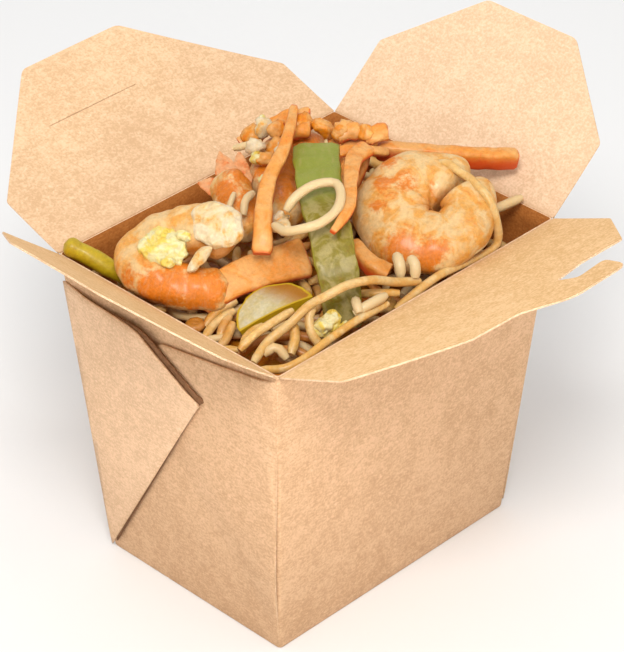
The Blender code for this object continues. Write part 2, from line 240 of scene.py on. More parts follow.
print("kraft fibres:", len(fibres.nodes), "nodes")

# %% [markdown]
# ## Board finishes
# The front and left flaps are greased and warmer, and a cut edge shows the paler core. The inside of
# the walls is painted dark brown as shade, and the right flap and the shown gusset get lighter
# copies of the board as painted light. Creases and the foot of the walls are painted darker as
# shade.

# %% Board finishes
CREASE_SHADE = (0.55, 0.34, 0.19)
FOOT_SHADE = 0.15
FOOT_REACH = 60 * MM


def board_finish(name, pale, deep, fleck):
    made, tree, shader = new_finish(name)
    where = add(tree, "ShaderNodeTexCoord").outputs["Object"]
    paper = use_group(tree, fibres, {"Vector": where})
    colour = mix(tree, ramp(tree, paper["Tone"], 0.40, 0.60), tint(deep), tint(pale))
    colour = mix(tree, maths(tree, "MULTIPLY", paper["Fleck"], 0.5), colour, tint(fleck))
    up = add(tree, "ShaderNodeSeparateXYZ", {0: where}).outputs["Z"]
    # Painted shade: the board darkens towards the foot of the walls.
    foot = maths(tree, "MULTIPLY", fall(tree, up, 0.0, FOOT_REACH), FOOT_SHADE)
    colour = mix(tree, foot, colour, (0.0, 0.0, 0.0, 1.0))
    # Painted shade: darker along creases and round each flap's crease roll.
    crease_shade = maths(tree, "MULTIPLY", painted(tree, "crease"), 0.55)
    colour = mix(tree, crease_shade, colour, tint(CREASE_SHADE))
    tree.links.new(colour, shader.inputs["Base Color"])
    shader.inputs["Roughness"].default_value = 0.78
    shader.inputs["Specular IOR Level"].default_value = 0.25
    bump = add(tree, "ShaderNodeBump", {"Strength": 0.35, "Distance": 0.00012,
                                        "Height": paper["Height"]})
    tree.links.new(bump.outputs[0], shader.inputs["Normal"])
    print(name, "ready")
    return made


board_outside = board_finish("board_outside", (0.72, 0.455, 0.265), (0.55, 0.325, 0.172),
                             (0.82, 0.57, 0.37))
board_greased = board_finish("board_greased", (0.80, 0.525, 0.275), (0.63, 0.380, 0.158),
                             (0.86, 0.60, 0.35))
board_inside = board_finish("board_inside", (0.75, 0.510, 0.312), (0.59, 0.372, 0.205),
                            (0.85, 0.60, 0.40))
# The right flap: a lighter copy of the board, as painted light.
board_painted_light = board_finish("board_painted_light", (0.79, 0.560, 0.370), (0.64, 0.430, 0.262),
                          (0.88, 0.67, 0.49))
# The inside of the walls: a dark brown that paints the shade inside the box.
board_painted_shade_inside = board_finish("board_painted_shade_inside", (0.42, 0.150, 0.030), (0.31, 0.098, 0.016),
                            (0.52, 0.23, 0.07))
# The shown gusset: a lighter copy of the board, as painted light.
board_gusset_painted_light = board_finish("board_gusset_painted_light", (0.83, 0.555, 0.350), (0.66, 0.420, 0.245),
                            (0.88, 0.64, 0.45))
# Near-black brown for the inner gusset layer: a painted shadow in the gap under the free edge.
board_painted_shadow = board_finish("board_painted_shadow", (0.25, 0.12, 0.055), (0.17, 0.075, 0.03),
                            (0.30, 0.16, 0.08))
board_cut = board_finish("board_cut", (0.80, 0.55, 0.35), (0.62, 0.39, 0.22), (0.86, 0.64, 0.44))

# %% [markdown]
# ## The folded carton
# The body starts as a cube whose top is opened and whose walls lean out. Bevels round the scored
# corners, planes cut the walls into a grid, and a gentle bow keeps them from looking like glass.
# Solidify then gives the board its thickness, with paler cut edges.

# %% Mesh helpers
def finish_piece(name, bm, finishes, body="root", stands_for=(), smooth=40):
    """Turns a bmesh into a finished object, riding on a body and standing for CAD nodes."""
    mesh = bpy.data.meshes.new(name)
    bm.to_mesh(mesh)
    bm.free()
    for made in finishes:
        mesh.materials.append(made)
    mesh.shade_smooth()
    mesh.set_sharp_from_angle(angle=math.radians(smooth))
    obj = put(name, mesh)
    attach(obj, body)
    if stands_for:
        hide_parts(*stands_for)
    print(name, "has", sum(len(p.vertices) - 2 for p in mesh.polygons), "triangles")
    return obj


def cut_grid(bm, normal, start, stop, step):
    """Cuts every face by planes across normal, so that the sheet can bend."""
    count = max(int(round((stop - start) / step)), 1)
    for k in range(1, count):
        where = Vector(normal) * (start + (stop - start) * k / count)
        bmesh.ops.bisect_plane(bm, geom=bm.verts[:] + bm.edges[:] + bm.faces[:],
                               plane_co=where, plane_no=normal)


def wall_half(z):
    """Half the outside width and depth of the carton at height z."""
    return BASE + (RIM - BASE) * (z / HEIGHT)


def eased(value, low, high):
    """0 below low, 1 above high, eased between them."""
    t = min(max((value - low) / (high - low), 0.0), 1.0)
    return t * t * (3 - 2 * t)

# %% [markdown]
# The walls' bow comes first, because the gussets lie on the same curved walls.

# %% Bow of the walls
BOW = 0.55 * MM
CORNER = 1.3 * MM
FOOT_ROUND = 0.6 * MM
GRID_ACROSS = 8 * MM
GRID_UP = 5 * MM
CORNER_SHADE = 0.12


def bowed(co):
    """How far a wall point moves out: most in the middle of the wall, none at its edges."""
    half = wall_half(co.z)
    u, v = co.x / half.x, co.y / half.y
    rise = math.sin(math.pi * min(max(co.z / HEIGHT, 0.0), 1.0)) ** 0.8
    shift = Vector((0.0, 0.0, 0.0))
    if abs(u) > 0.97:
        shift.x = math.copysign(BOW * rise * max(1 - v * v, 0.0), u)
    if abs(v) > 0.97:
        shift.y = math.copysign(BOW * rise * max(1 - u * u, 0.0), v)
    return shift


print("walls bow out by up to", round(BOW / MM, 2), "mm")

# %% [markdown]
# Now the body itself: cube, open top, bevels, grid, bow. Its upright creases carry a little painted
# shade.

# %% Carton body
bm = bmesh.new()
bmesh.ops.create_cube(bm, size=2.0)
for v in bm.verts:
    half = RIM if v.co.z > 0 else BASE
    v.co = (math.copysign(half.x, v.co.x), math.copysign(half.y, v.co.y),
            HEIGHT if v.co.z > 0 else 0.0)
bm.normal_update()
bmesh.ops.delete(bm, geom=[f for f in bm.faces if f.normal.z > 0.9], context="FACES")
uprights = [e for e in bm.edges if abs(e.verts[0].co.z - e.verts[1].co.z) > HEIGHT / 2]
bmesh.ops.bevel(bm, geom=uprights, offset=CORNER, affect="EDGES", segments=5, profile=0.5,
                material=-1)
foot = [e for e in bm.edges if max(v.co.z for v in e.verts) < 1e-6]
bmesh.ops.bevel(bm, geom=foot, offset=FOOT_ROUND, affect="EDGES", segments=2, profile=0.5,
                material=-1)
for direction, reach in (((1, 0, 0), RIM.x), ((0, 1, 0), RIM.y)):
    cut_grid(bm, direction, -reach, reach, GRID_ACROSS)
cut_grid(bm, (0, 0, 1), 0.0, HEIGHT, GRID_UP)
crease = bm.verts.layers.float.new("crease")
for v in bm.verts:
    to_corner = Vector([max(abs(c) - side + 1.6 * MM, 0.0)
                        for c, side in zip(v.co.xy, wall_half(v.co.z))])
    # Points by the upright corners take a little painted shade.
    v[crease] = CORNER_SHADE if to_corner.length > 1.75 * MM else 0.0
    v.co += bowed(v.co)
carton = finish_piece("carton_board", bm, [board_outside, board_cut, board_painted_shade_inside],
                      stands_for=["carton"])
wall = carton.modifiers.new("Board", "SOLIDIFY")
wall.thickness = BOARD
wall.offset = -1.0
wall.material_offset_rim = 1
# The inside faces take the painted shade.
wall.material_offset = 2

# %% [markdown]
# ## Corner gussets
# At each corner the spare board folds flat against the end wall. One gusset shows, in two layers
# that part a little at their free edge, and the other is tucked under it. Each layer starts as a
# flat face through its outline, is cut into a grid and laid on the leaning wall, and a small
# function says how far every point stands off. The far end carries the same, turned half round.

# %% A sheet laid on an end wall
def sheet_through(corners):
    """A flat face through (distance along the wall, height) corners, as x and y of a bmesh."""
    bm = bmesh.new()
    verts = [bm.verts.new((a, z, 0.0)) for a, z in corners]
    bmesh.ops.contextual_create(bm, geom=verts)
    return bm


def gusset(name, corners, lift, end, face=board_outside):
    """A folded corner sheet on an end wall; lift(a, z) is how far its middle stands off."""
    bm = sheet_through([(a * MM, z * MM) for a, z in corners])
    cut_grid(bm, (1, 0, 0), 0.0, 2 * RIM.y, 3 * MM)
    cut_grid(bm, (0, 1, 0), 0.0, HEIGHT, 4 * MM)
    lean = math.atan2(RIM.x - BASE.x, HEIGHT)
    for v in bm.verts:
        along, height = v.co.x, v.co.y
        point = Vector((-wall_half(height).x, RIM.y - along, height))
        point += bowed(point) + Vector((-math.cos(lean), 0, -math.sin(lean))) * lift(along, height)
        v.co = Matrix.Rotation(end * math.pi, 3, "Z") @ point
    bmesh.ops.recalc_face_normals(bm, faces=bm.faces[:])
    outside = Vector((-math.cos(end * math.pi), 0, 0))
    if sum(f.normal.dot(outside) * f.calc_area() for f in bm.faces) < 0:
        bmesh.ops.reverse_faces(bm, faces=bm.faces[:])
    obj = finish_piece(f"{name}_{end}", bm, [face, face if face is board_painted_shadow else board_cut])
    shell = obj.modifiers.new("Board", "SOLIDIFY")
    shell.thickness = BOARD
    shell.offset = 0.0
    shell.material_offset_rim = 1
    return obj


print("gussets lie on walls that lean in by", round((RIM.x - BASE.x) / MM, 1), "mm")

# %% [markdown]
# The outlines are (distance from the corner, height) in millimetres, anticlockwise from the foot.
# The first two points of the shown gusset are the ends of its slanted fold.

# %% Gusset outlines
DEPTH = 2 * RIM.y / MM
SHOWN = [(9.3, 1.6), (54.4, 75.2), (55.5, 76.6), (54.8, 77.8), (35.6, 89.7), (33.2, 90.9),
         (30.0, 91.4), (14.0, 91.2), (1.2, 91.6)]
# The inner layer reaches a little past the outer one at the free edge, where its near-black finish
# is a painted shadow.
INNER = [(11.5, 4.0), (55.2, 77.0), (56.4, 77.9), (56.0, 79.3), (36.4, 91.2), (33.6, 91.9),
         (30.0, 92.0), (16.0, 90.6), (3.0, 90.4)]
TUCKED = [(DEPTH - 9.0, 0.8), (DEPTH - 0.5, 98.4), (80.4, 97.0), (63.8, 93.7), (48.0, 91.0),
          (41.5, 89.9), (39.6, 88.8), (38.4, 87.0), (25.5, 67.7)]
FOLD = (SHOWN[0], SHOWN[1])
print("the shown gusset reaches", SHOWN[2][0], "mm from the corner")

# %% [markdown]
# Each layer has its own lift. The tucked one has no free edge to show, so it sinks into the wall
# along its slant and at the corner.

# %% How far the gussets stand off
def fold_distance(along, height, start, stop):
    """Distance in metres from the slanted fold line between two (along, height) points in mm."""
    a, b = Vector(start) * MM, Vector(stop) * MM
    line = (b - a).normalized()
    off = Vector((along, height)) - a
    return abs(off.x * line.y - off.y * line.x)


def outer_lift(along, height):
    """Least by the corner and pressed flat at the slanted fold, most at the free edge."""
    free = eased(along, 12 * MM, 38 * MM) * eased(height, 30 * MM, 84 * MM)
    base = 0.35 * MM + 1.25 * MM * eased(along, 1 * MM, 14 * MM)
    fold = 1 - eased(fold_distance(along, height, *FOLD), 0.0, 2.2 * MM)
    return base + 1.1 * MM * free - 0.5 * MM * fold * (0.4 + free)


def inner_lift(along, height):
    """Just under the outer layer, and parting from it at the free edge."""
    apart = 0.35 * MM * eased(along, 20 * MM, 45 * MM) * eased(height, 60 * MM, 84 * MM)
    return outer_lift(along, height) - BOARD * 1.05 - apart


def tucked_lift(along, height):
    """Its slanted lower edge and its corner edge sink into the wall, so that neither shows."""
    corner = eased(DEPTH * MM - along, 0.5 * MM, 7 * MM)
    slant = eased(fold_distance(along, height, TUCKED[-1], TUCKED[0]), 0.0, 16 * MM)
    return -0.35 * MM + 1.15 * MM * corner * slant


for end in (0, 1):
    gusset("gusset_outer", SHOWN, outer_lift, end, board_gusset_painted_light)
    gusset("gusset_inner", INNER, inner_lift, end, board_painted_shadow)
    gusset("gusset_tucked", TUCKED, tucked_lift, end)

# %% [markdown]
# ## The flaps
# Each flap is the same board beyond a crease. Its outline is already true in the frame, slit and
# hooked tab included, so one face of a copy of the node is kept, cut into a grid, curled a little
# and given its thickness. A thin roll along the hinge line closes the crease at every angle. The
# slit is a cut with no width, so the frame's slot is drawn together.

# %% One flat face of a flap
def flap_outline(node):
    """The flap's upper face, laid flat with X along its crease, and the matrix that seats it."""
    bm = bmesh.new()
    bm.from_mesh(frame["nodes"][node].data)
    bmesh.ops.remove_doubles(bm, verts=bm.verts[:], dist=1e-6)
    bmesh.ops.dissolve_limit(bm, angle_limit=0.02, verts=bm.verts[:], edges=bm.edges[:])
    bm.normal_update()
    pivot = HINGES[node]
    along = Vector((0, 1, 0)) if abs(pivot.x) > abs(pivot.y) else Vector((1, 0, 0))
    top = max(bm.faces, key=lambda f: f.calc_area() * (f.normal.z > 0)).normal.copy()
    reach = along.cross(top)
    if reach.dot(pivot - Vector((0, 0, HEIGHT))) < 0:
        reach = -reach
    bmesh.ops.delete(bm, geom=[f for f in bm.faces if f.normal.dot(top) < 0.9], context="FACES")
    seat = Matrix((along, reach, top)).transposed().to_4x4()
    seat.translation = pivot
    bmesh.ops.transform(bm, matrix=seat.inverted(), verts=bm.verts[:])
    for v in bm.verts:
        v.co.z = 0.0
        if v.co.y < 1 * MM:
            v.co.y = 0.0
    return bm, seat


SLIT_MIDDLE = Vector((-8.5, 37.6)) * MM
SLIT_REACH = Vector((17.5, 1.0)) * MM
SLIT_CLOSED = 0.25


def close_slit(bm):
    for v in bm.verts:
        off = v.co.xy - SLIT_MIDDLE
        if abs(off.x) < SLIT_REACH.x and abs(off.y) < SLIT_REACH.y:
            v.co.y = SLIT_MIDDLE.y + off.y * SLIT_CLOSED


print("flap nodes:", [name for name in HINGES])

# %% [markdown]
# The sheet is bent where it lies flat, because there a bend is only a change of height. Then it gets
# its thickness, its cut edges are given their own finish, and it is seated on its crease.

# %% Flap sheets
ROLL_RADIUS = 0.28 * MM


def flap_sheet(node, finish, curl, ripple):
    """curl bends the flap up towards its tip, ripple waves it across; both in metres."""
    bm, seat = flap_outline(node)
    longest = max(v.co.y for v in bm.verts)
    half = max(abs(v.co.x) for v in bm.verts)
    if node == "flap_back":
        close_slit(bm)
    cut_grid(bm, (1, 0, 0), -half, half, 4 * MM)
    cut_grid(bm, (0, 1, 0), 0.0, longest, 3.2 * MM)
    cut_grid(bm, (0, 1, 0), 0.0, 2.4 * MM, 0.8 * MM)
    bmesh.ops.triangulate(bm, faces=[f for f in bm.faces if len(f.verts) > 4])
    crease = bm.verts.layers.float.new("crease")
    for v in bm.verts:
        u, w = v.co.x / half, v.co.y / longest
        # Painted shade along the crease.
        v[crease] = max(1 - v.co.y / (1.7 * MM), 0.0)
        dents = noise.noise(Vector((v.co.x, v.co.y, half)) * 28) * min(6 * w, 1.0)
        v.co.z += curl * (1.9 * w * w - 0.7 * w) + ripple * math.sin(2.3 * u + 1.2) * w
        v.co.z += 0.25 * MM * dents
    bmesh.ops.solidify(bm, geom=bm.faces[:], thickness=BOARD)
    bmesh.ops.recalc_face_normals(bm, faces=bm.faces[:])
    at_crease = [v.co.z for v in bm.verts if v.co.y < 1e-6]
    bmesh.ops.translate(bm, verts=bm.verts[:],
                        vec=(0, 0, -(min(at_crease) + max(at_crease)) / 2))
    for f in bm.faces:
        f.material_index = 1 if abs(f.normal.z) < 0.5 else 0
    roll = bmesh.ops.create_cone(bm, cap_ends=True, segments=10, radius1=ROLL_RADIUS,
                                 radius2=ROLL_RADIUS, depth=2 * half,
                                 matrix=Matrix.Rotation(math.pi / 2, 4, "Y"))
    # The roll is painted dark, as shade in the crease.
    for v in roll["verts"]:
        v[crease] = 0.8
    bmesh.ops.transform(bm, matrix=seat, verts=bm.verts[:])
    return finish_piece(f"{node}_board", bm, [finish, board_cut], body=node, stands_for=[node])


flap_sheet("flap_back", board_inside, 1.3 * MM, 0.5 * MM)
flap_sheet("flap_right", board_painted_light, 0.6 * MM, -0.5 * MM)
flap_sheet("flap_left", board_greased, 0.4 * MM, 0.4 * MM)
flap_sheet("flap_front", board_greased, 0.5 * MM, 0.6 * MM)

# %% [markdown]
# ## Food: one way to make long pieces
# Prawns, vegetable sticks and strips are all a cross-section carried along a bent line. A ring of
# points is extruded step by step, and each new ring is moved to its place on the line. Every point
# keeps two numbers, how far along the piece it is and which way round, for its finish to read.

# %% Routes
def smooth_route(points, count):
    """Even points, in metres, on a smooth curve through points given in millimetres."""
    p = np.array(points, float) * MM
    p = np.vstack([2 * p[0] - p[1], p, 2 * p[-1] - p[-2]])
    fine = [0.5 * (2 * b + (c - a) * t + (2 * a - 5 * b + 4 * c - d) * t ** 2
                   + (3 * b - a - 3 * c + d) * t ** 3)
            for a, b, c, d in zip(p[:-3], p[1:-2], p[2:-1], p[3:])
            for t in np.linspace(0, 1, 24, endpoint=False)]
    fine = np.array(fine + [p[-2]])
    far = np.concatenate([[0], np.cumsum(np.linalg.norm(np.diff(fine, axis=0), axis=1))])
    want = np.linspace(0, far[-1], count)
    return np.stack([np.interp(want, far, fine[:, k]) for k in range(3)], 1)


route = smooth_route([(0, 0, 0), (10, 0, 0), (10, 10, 0)], 5)
print("a route round a corner:", [[round(c / MM, 1) for c in point[:2]] for point in route])

# %% [markdown]
# A ring of points is then carried along the route. At each point of it a matrix says which way is
# across, which way the piece faces and which way it runs.

# %% Sweeps
def ring_frames(path, facing):
    """One matrix for each point: X across, Y towards facing, Z along the path."""
    along = np.gradient(path, axis=0)
    along /= np.linalg.norm(along, axis=1)[:, None]
    frames = []
    for point, run in zip(path, along):
        run = Vector(run)
        up = Vector(facing) - run * Vector(facing).dot(run)
        up.normalize()
        turn = Matrix((up.cross(run), up, run)).transposed().to_4x4()
        turn.translation = Vector(point)
        frames.append(turn)
    return frames


def sweep(path, facing, section, sides=20, square=1.0):
    """Carries a ring along path; section(t) gives its half width and half thickness."""
    bm = bmesh.new()
    place = bm.verts.layers.float_vector.new("place")
    bmesh.ops.create_circle(bm, segments=sides, radius=1.0)
    for v in bm.verts:
        v[place] = (0.0, v.co.x, v.co.y)
        v.co = [math.copysign(abs(c) ** square, c) for c in v.co.xy] + [0.0]
    ring, edges, before = bm.verts[:], bm.edges[:], Matrix.Identity(4)
    for k, turn in enumerate(ring_frames(path, facing)):
        t = k / (len(path) - 1)
        wide, thick = section(t)
        now = turn @ Matrix.Diagonal((max(wide, 1e-5), max(thick, 1e-5), 1.0, 1.0))
        if k:
            grown = bmesh.ops.extrude_edge_only(bm, edges=edges)["geom"]
            ring = [g for g in grown if isinstance(g, bmesh.types.BMVert)]
            edges = [g for g in grown if isinstance(g, bmesh.types.BMEdge)
                     and all(v in ring for v in g.verts)]
        bmesh.ops.transform(bm, matrix=now @ before.inverted(), verts=ring)
        for v in ring:
            v[place].x = t
        before = now
    bmesh.ops.holes_fill(bm, edges=[e for e in bm.edges if e.is_boundary], sides=0)
    bmesh.ops.recalc_face_normals(bm, faces=bm.faces[:])
    return bm


tube = sweep(route, (0, 0, 1), lambda t: (MM, MM), 8)
print("a sweep of 8 sides along that route has", len(tube.verts), "points")
tube.free()

# %% [markdown]
# Two more steps serve most pieces: round ends, and a surface that is never quite smooth.

# %% Round ends and uneven skin
def round_end(t, cap):
    """1 in the middle of a piece, falling to 0 over cap at each end as a half circle does."""
    near = min(t, 1 - t)
    return 1.0 if near >= cap else math.sqrt(max(1 - ((cap - near) / cap) ** 2, 0.0))


def roughen(bm, amount, size, octaves=2, seed=0.0):
    """Pushes the surface in and out by smooth noise; size is the width of its lumps."""
    bm.normal_update()
    push = [(v, v.normal * amount * noise.fractal(v.co / size + Vector((seed, 0, 0)), 0.9, 2.1,
                                                  octaves)) for v in bm.verts]
    for v, step in push:
        v.co += step


print("round ends:", [round(round_end(t, 0.2), 2) for t in (0.0, 0.05, 0.1, 0.2, 0.5)])

# %% [markdown]
# ## Finishes for food
# Cooked food is moist: a thin clear coat over a soft, slightly translucent body. Its colour is
# never even, so one node group spreads a second and a third colour in patches and adds a fine
# grain. Every food finish sets its own three colours, patch size and gloss.

# %% Patch group
patches = bpy.data.node_groups.new("sauce_patches", "ShaderNodeTree")
inward, outward = group_ends(
    patches, [("Vector", "NodeSocketVector"), ("Size", "NodeSocketFloat"),
              ("Body", "NodeSocketColor"), ("Pale", "NodeSocketColor"),
              ("Sauce", "NodeSocketColor"), ("Sauce Amount", "NodeSocketFloat")],
    [("Color", "NodeSocketColor"), ("Height", "NodeSocketFloat")])
where = inward.outputs["Vector"]
size = maths(patches, "DIVIDE", 1.0, inward.outputs["Size"])
broad = speckle(patches, where, size, 3.0, 0.55, 0.8)
fine = speckle(patches, where, maths(patches, "MULTIPLY", size, 5.0), 3.0, 0.6)
crumb = speckle(patches, where, 950.0, 3.0, 0.65)
pale = mix(patches, ramp(patches, broad, 0.40, 0.62), inward.outputs["Body"],
           inward.outputs["Pale"])
hollows = maths(patches, "MULTIPLY", maths(patches, "SUBTRACT", 1.0, broad), 0.75)
pooled = maths(patches, "ADD", maths(patches, "MULTIPLY", fine, 0.45), hollows)
edge = maths(patches, "SUBTRACT", 0.82, inward.outputs["Sauce Amount"])
wet = ramp(patches, pooled, edge, maths(patches, "ADD", edge, 0.24))
shade = add(patches, "ShaderNodeMapRange", {"Value": crumb, "From Min": 0.3, "From Max": 0.7,
                                            "To Min": 0.86, "To Max": 1.12}).outputs["Result"]
sauced = mix(patches, wet, pale, inward.outputs["Sauce"])
patches.links.new(mix(patches, 1.0, sauced, shade, "MULTIPLY"), outward.inputs["Color"])
relief = maths(patches, "ADD", fine, maths(patches, "MULTIPLY", broad, 0.6))
patches.links.new(maths(patches, "ADD", relief, maths(patches, "MULTIPLY", crumb, 0.35)),
                  outward.inputs["Height"])
print("sauce patches:", len(patches.nodes), "nodes")

# %% [markdown]
# ## From a seen colour to a base colour
# The lamps here are bright and the coat adds a little white, so food whose colour is known as it
# looks needs a deeper base colour. `shown` works that out. `glaze` lays such a colour over another.

# %% Food finish
LIGHT = 1.48
SHEEN = 0.03


def shown(red, green, blue):
    """The base colour of wet food that looks (red, green, blue) of 255 under the lamps here."""
    seen = [((c / 255 + 0.055) / 1.055) ** 2.4 / LIGHT for c in (red, green, blue)]
    return tuple(max(c - SHEEN, 0.004) for c in seen)


def glaze(tree, colour, mask, share, seen):
    """Lays the colour that looks like seen over another, in its share where the mask is 1."""
    return mix(tree, maths(tree, "MULTIPLY", mask, share), colour, tint(shown(*seen)))


def food_finish(name, body, pale, sauce, amount, size, gloss=0.5, relief=0.2, glow=0.15):
    """Returns the material, its tree and shader, and the colour so far, for more to be added."""
    made, tree, shader = new_finish(name)
    where = add(tree, "ShaderNodeTexCoord").outputs["Object"]
    look = use_group(tree, patches, {
        "Vector": where, "Size": size, "Body": tint(shown(*body)), "Pale": tint(shown(*pale)),
        "Sauce": tint(shown(*sauce)),
        "Sauce Amount": maths(tree, "ADD", painted(tree, "stain"), amount)})
    tree.links.new(look["Color"], shader.inputs["Base Color"])
    shader.inputs["Roughness"].default_value = 0.55
    shader.inputs["Specular IOR Level"].default_value = 0.35
    shader.inputs["Coat Weight"].default_value = 0.5 * gloss
    shader.inputs["Coat Roughness"].default_value = 0.24
    if glow:
        shader.inputs["Subsurface Weight"].default_value = glow
        shader.inputs["Subsurface Radius"].default_value = (1.0, 0.5, 0.25)
        shader.inputs["Subsurface Scale"].default_value = 0.0018
    bump = add(tree, "ShaderNodeBump", {"Strength": relief, "Distance": 0.0006,
                                        "Height": look["Height"]})
    tree.links.new(bump.outputs[0], shader.inputs["Normal"])
    print(name, "finish ready")
    return made, tree, shader, look["Color"]


def over(tree, shader, colour):
    tree.links.new(colour, shader.inputs["Base Color"])


def swept_place(tree):
    """Along (0 to 1) and the two parts of the way round, as a sweep stored them."""
    spot = add(tree, "ShaderNodeAttribute", attribute_name="place").outputs["Vector"]
    return add(tree, "ShaderNodeSeparateXYZ", {0: spot}).outputs


def streaks(tree, t, across, facing, along, scale, detail, rough=0.6, distort=0.0):
    """Noise in a sweep's own directions; along stretches (low) or crowds (high) it lengthwise."""
    spot = add(tree, "ShaderNodeCombineXYZ", {0: maths(tree, "MULTIPLY", t, along), 1: across,
                                              2: facing}).outputs[0]
    return speckle(tree, spot, scale, detail, rough, distort)

# %% [markdown]
# ## Prawns
# A cooked prawn is a curled tail of overlapping segments: peach flesh, redder along its back, with
# a step at every segment. The section swells over each segment and drops at its end, the inner
# side is grooved, and low lumps break the light. Sauce pools where the stains say.

# %% Prawn finish
prawn_finish, tree, shader, colour = food_finish(
    "prawn_flesh", (251, 184, 98), (254, 214, 154), (248, 146, 20), 0.17, 0.0055, 0.5, 0.5, 0.15)
t, across, facing = swept_place(tree)
# Redder towards the back of the curl: partly the prawn's own colour, partly painted shade on the
# curl's outer rim.
colour = glaze(tree, colour, ramp(tree, across, 0.45, 0.98), 0.6, (244, 150, 50))
bands = streaks(tree, t, across, facing, 42.0, 1.3, 5.0, 0.7, 1.2)
colour = glaze(tree, colour, ramp(tree, bands, 0.46, 0.80), 0.30, (254, 222, 180))
over(tree, shader, colour)

# %% [markdown]
# The shape is one sweep. Its section is stepped by segment, then each point is moved along its
# normal: in where the inner groove and the joints of the shell are, in and out by lumps.

# %% Prawn shape
def prawn(name, path, facing, radius, tail, flat, segments, cap, stains=(), nodes=(), lumps=0.6,
          swell=lambda t: 1.0):
    """radius in mm; the back of the curl is at +across; stains are (x, y, z, reach, strength)."""
    def section(t):
        size = radius * MM * (1 - (1 - tail) * t) * round_end(t, cap) * swell(t)
        step = (t * segments) % 1.0
        size *= 0.965 + 0.06 * math.sin(math.pi * min(step * 1.12, 1.0)) ** 0.7
        return size, size * flat
    bm = sweep(path, facing, section, sides=26)
    place = bm.verts.layers.float_vector["place"]
    stain = bm.verts.layers.float.new("stain")
    bm.normal_update()
    for v in bm.verts:
        t, across, face = v[place]
        groove = math.exp(-((across + 0.25) / 0.3) ** 2) * (0.035 * radius * MM) * (face > 0)
        crease = math.exp(-((((t * segments) % 1.0) - 0.5) ** 2 - 0.25) ** 2 / 0.003)
        v.co -= v.normal * (groove + 0.25 * MM * crease * (1 - 0.5 * across))
        v[stain] = max([amount * math.exp(-((v.co - Vector(p) * MM).length / (r * MM)) ** 2)
                        for *p, r, amount in stains] or [0.0])
    roughen(bm, lumps * MM, 5.0 * MM, 3, radius)
    bmesh.ops.smooth_vert(bm, verts=bm.verts[:], factor=0.35, use_axis_x=True, use_axis_y=True,
                          use_axis_z=True)
    obj = finish_piece(name, bm, [prawn_finish], stands_for=nodes,
                       smooth=70)
    fine = obj.modifiers.new("Smooth", "SUBSURF")
    fine.levels = fine.render_levels = 1
    return obj

# %% [markdown]
# The coiled prawn is one full turn, wound a little upwards, and fatter and wider on one side. Its
# stains lie where sauce has run.

# %% Coiled prawn
ACROSS = Vector((0.705, -0.709, 0.0))
BIG_CURL = Vector((-0.31, -0.23, 0.92)).normalized()
side = (ACROSS - BIG_CURL * ACROSS.dot(BIG_CURL)).normalized()
other = BIG_CURL.cross(side)
COIL_CENTRE = Vector((24.3, -25.4, 108.2)) * MM


def coil_angle(t):
    return math.radians(48 + 360 * t)


coil = []
for t in np.linspace(0, 1, 74):
    angle = coil_angle(t)
    reach = (10.5 - 1.4 * math.cos(angle)) * MM
    coil.append(COIL_CENTRE + side * reach * math.cos(angle) + other * reach * math.sin(angle)
                + BIG_CURL * 2.4 * MM * (t - 0.5))
prawn("prawn_big_meat", np.array(coil), BIG_CURL, 9.7, 0.95, 0.72, 7, 0.055,
      [(23, -8, 118, 3.2, 0.45), (16, -13, 117.5, 3.0, 0.5), (20, -18, 117.0, 3.4, 0.45),
       (9, -17, 113, 2.2, 0.4), (27, -23, 113, 2.4, 0.3), (7, -29, 106, 4, 0.5),
       (11, -36, 105, 4, 0.5)],
      nodes=["prawn_big"], swell=lambda t: 1 - 0.165 * math.cos(coil_angle(t)))

# %% [markdown]
# The other prawns follow a few points each. Their hidden ends sink into the noodles.

# %% The other prawns
TILTED = (-0.48, -0.26, 0.84)
prawn("prawn_left_meat",
      smooth_route([(-24.5, 1.5, 109.8), (-30, 11, 110.8), (-37.5, 19.8, 107.5),
                    (-44.5, 20.5, 104), (-46.6, 13.2, 102.4), (-43.6, 6.0, 101.4),
                    (-38.8, 0.2, 100.8), (-33.5, -4.5, 100.2)], 64),
      TILTED, 7.6, 0.78, 0.86, 7, 0.09,
      [(-50, 8, 102, 5.5, 0.55), (-47, 3, 104, 6, 0.5), (-42, -2, 103, 6, 0.55),
       (-51, 15, 103, 3.5, 0.4), (-25, -2, 112, 3.5, 0.6), (-40, 6, 107, 4, 0.4)],
      nodes=["prawn_left"], lumps=1.0)
prawn("prawn_back_meat",
      smooth_route([(26, 19, 111), (15, 24, 109), (6, 20, 107), (2, 12, 104), (0, 6, 99)], 50),
      (-0.30, -0.25, 0.92), 7.2, 0.75, 0.95, 5, 0.16,
      [(8, 16, 112, 8, 0.8), (16, 20, 114, 7, 0.6)], nodes=["prawn_back"], lumps=1.1)
prawn("prawn_tail_meat",
      smooth_route([(-4.8, 27.5, 110.5), (-6.6, 23.5, 108.5), (-8.8, 18.5, 106), (-11, 13.5, 103),
                    (-12, 10, 99)], 36),
      TILTED, 6.0, 0.9, 1.0, 3, 0.3,
      [(-9, 14, 108, 4, 0.6), (-11, 20, 110, 4, 0.5), (-6, 22, 112, 3, 0.6)],
      nodes=["prawn_tail"], lumps=1.2)

# %% [markdown]
# ## Tail fins
# The tail keeps its thin, ribbed fins of pink shell. Each is a flat sweep that narrows to a point.

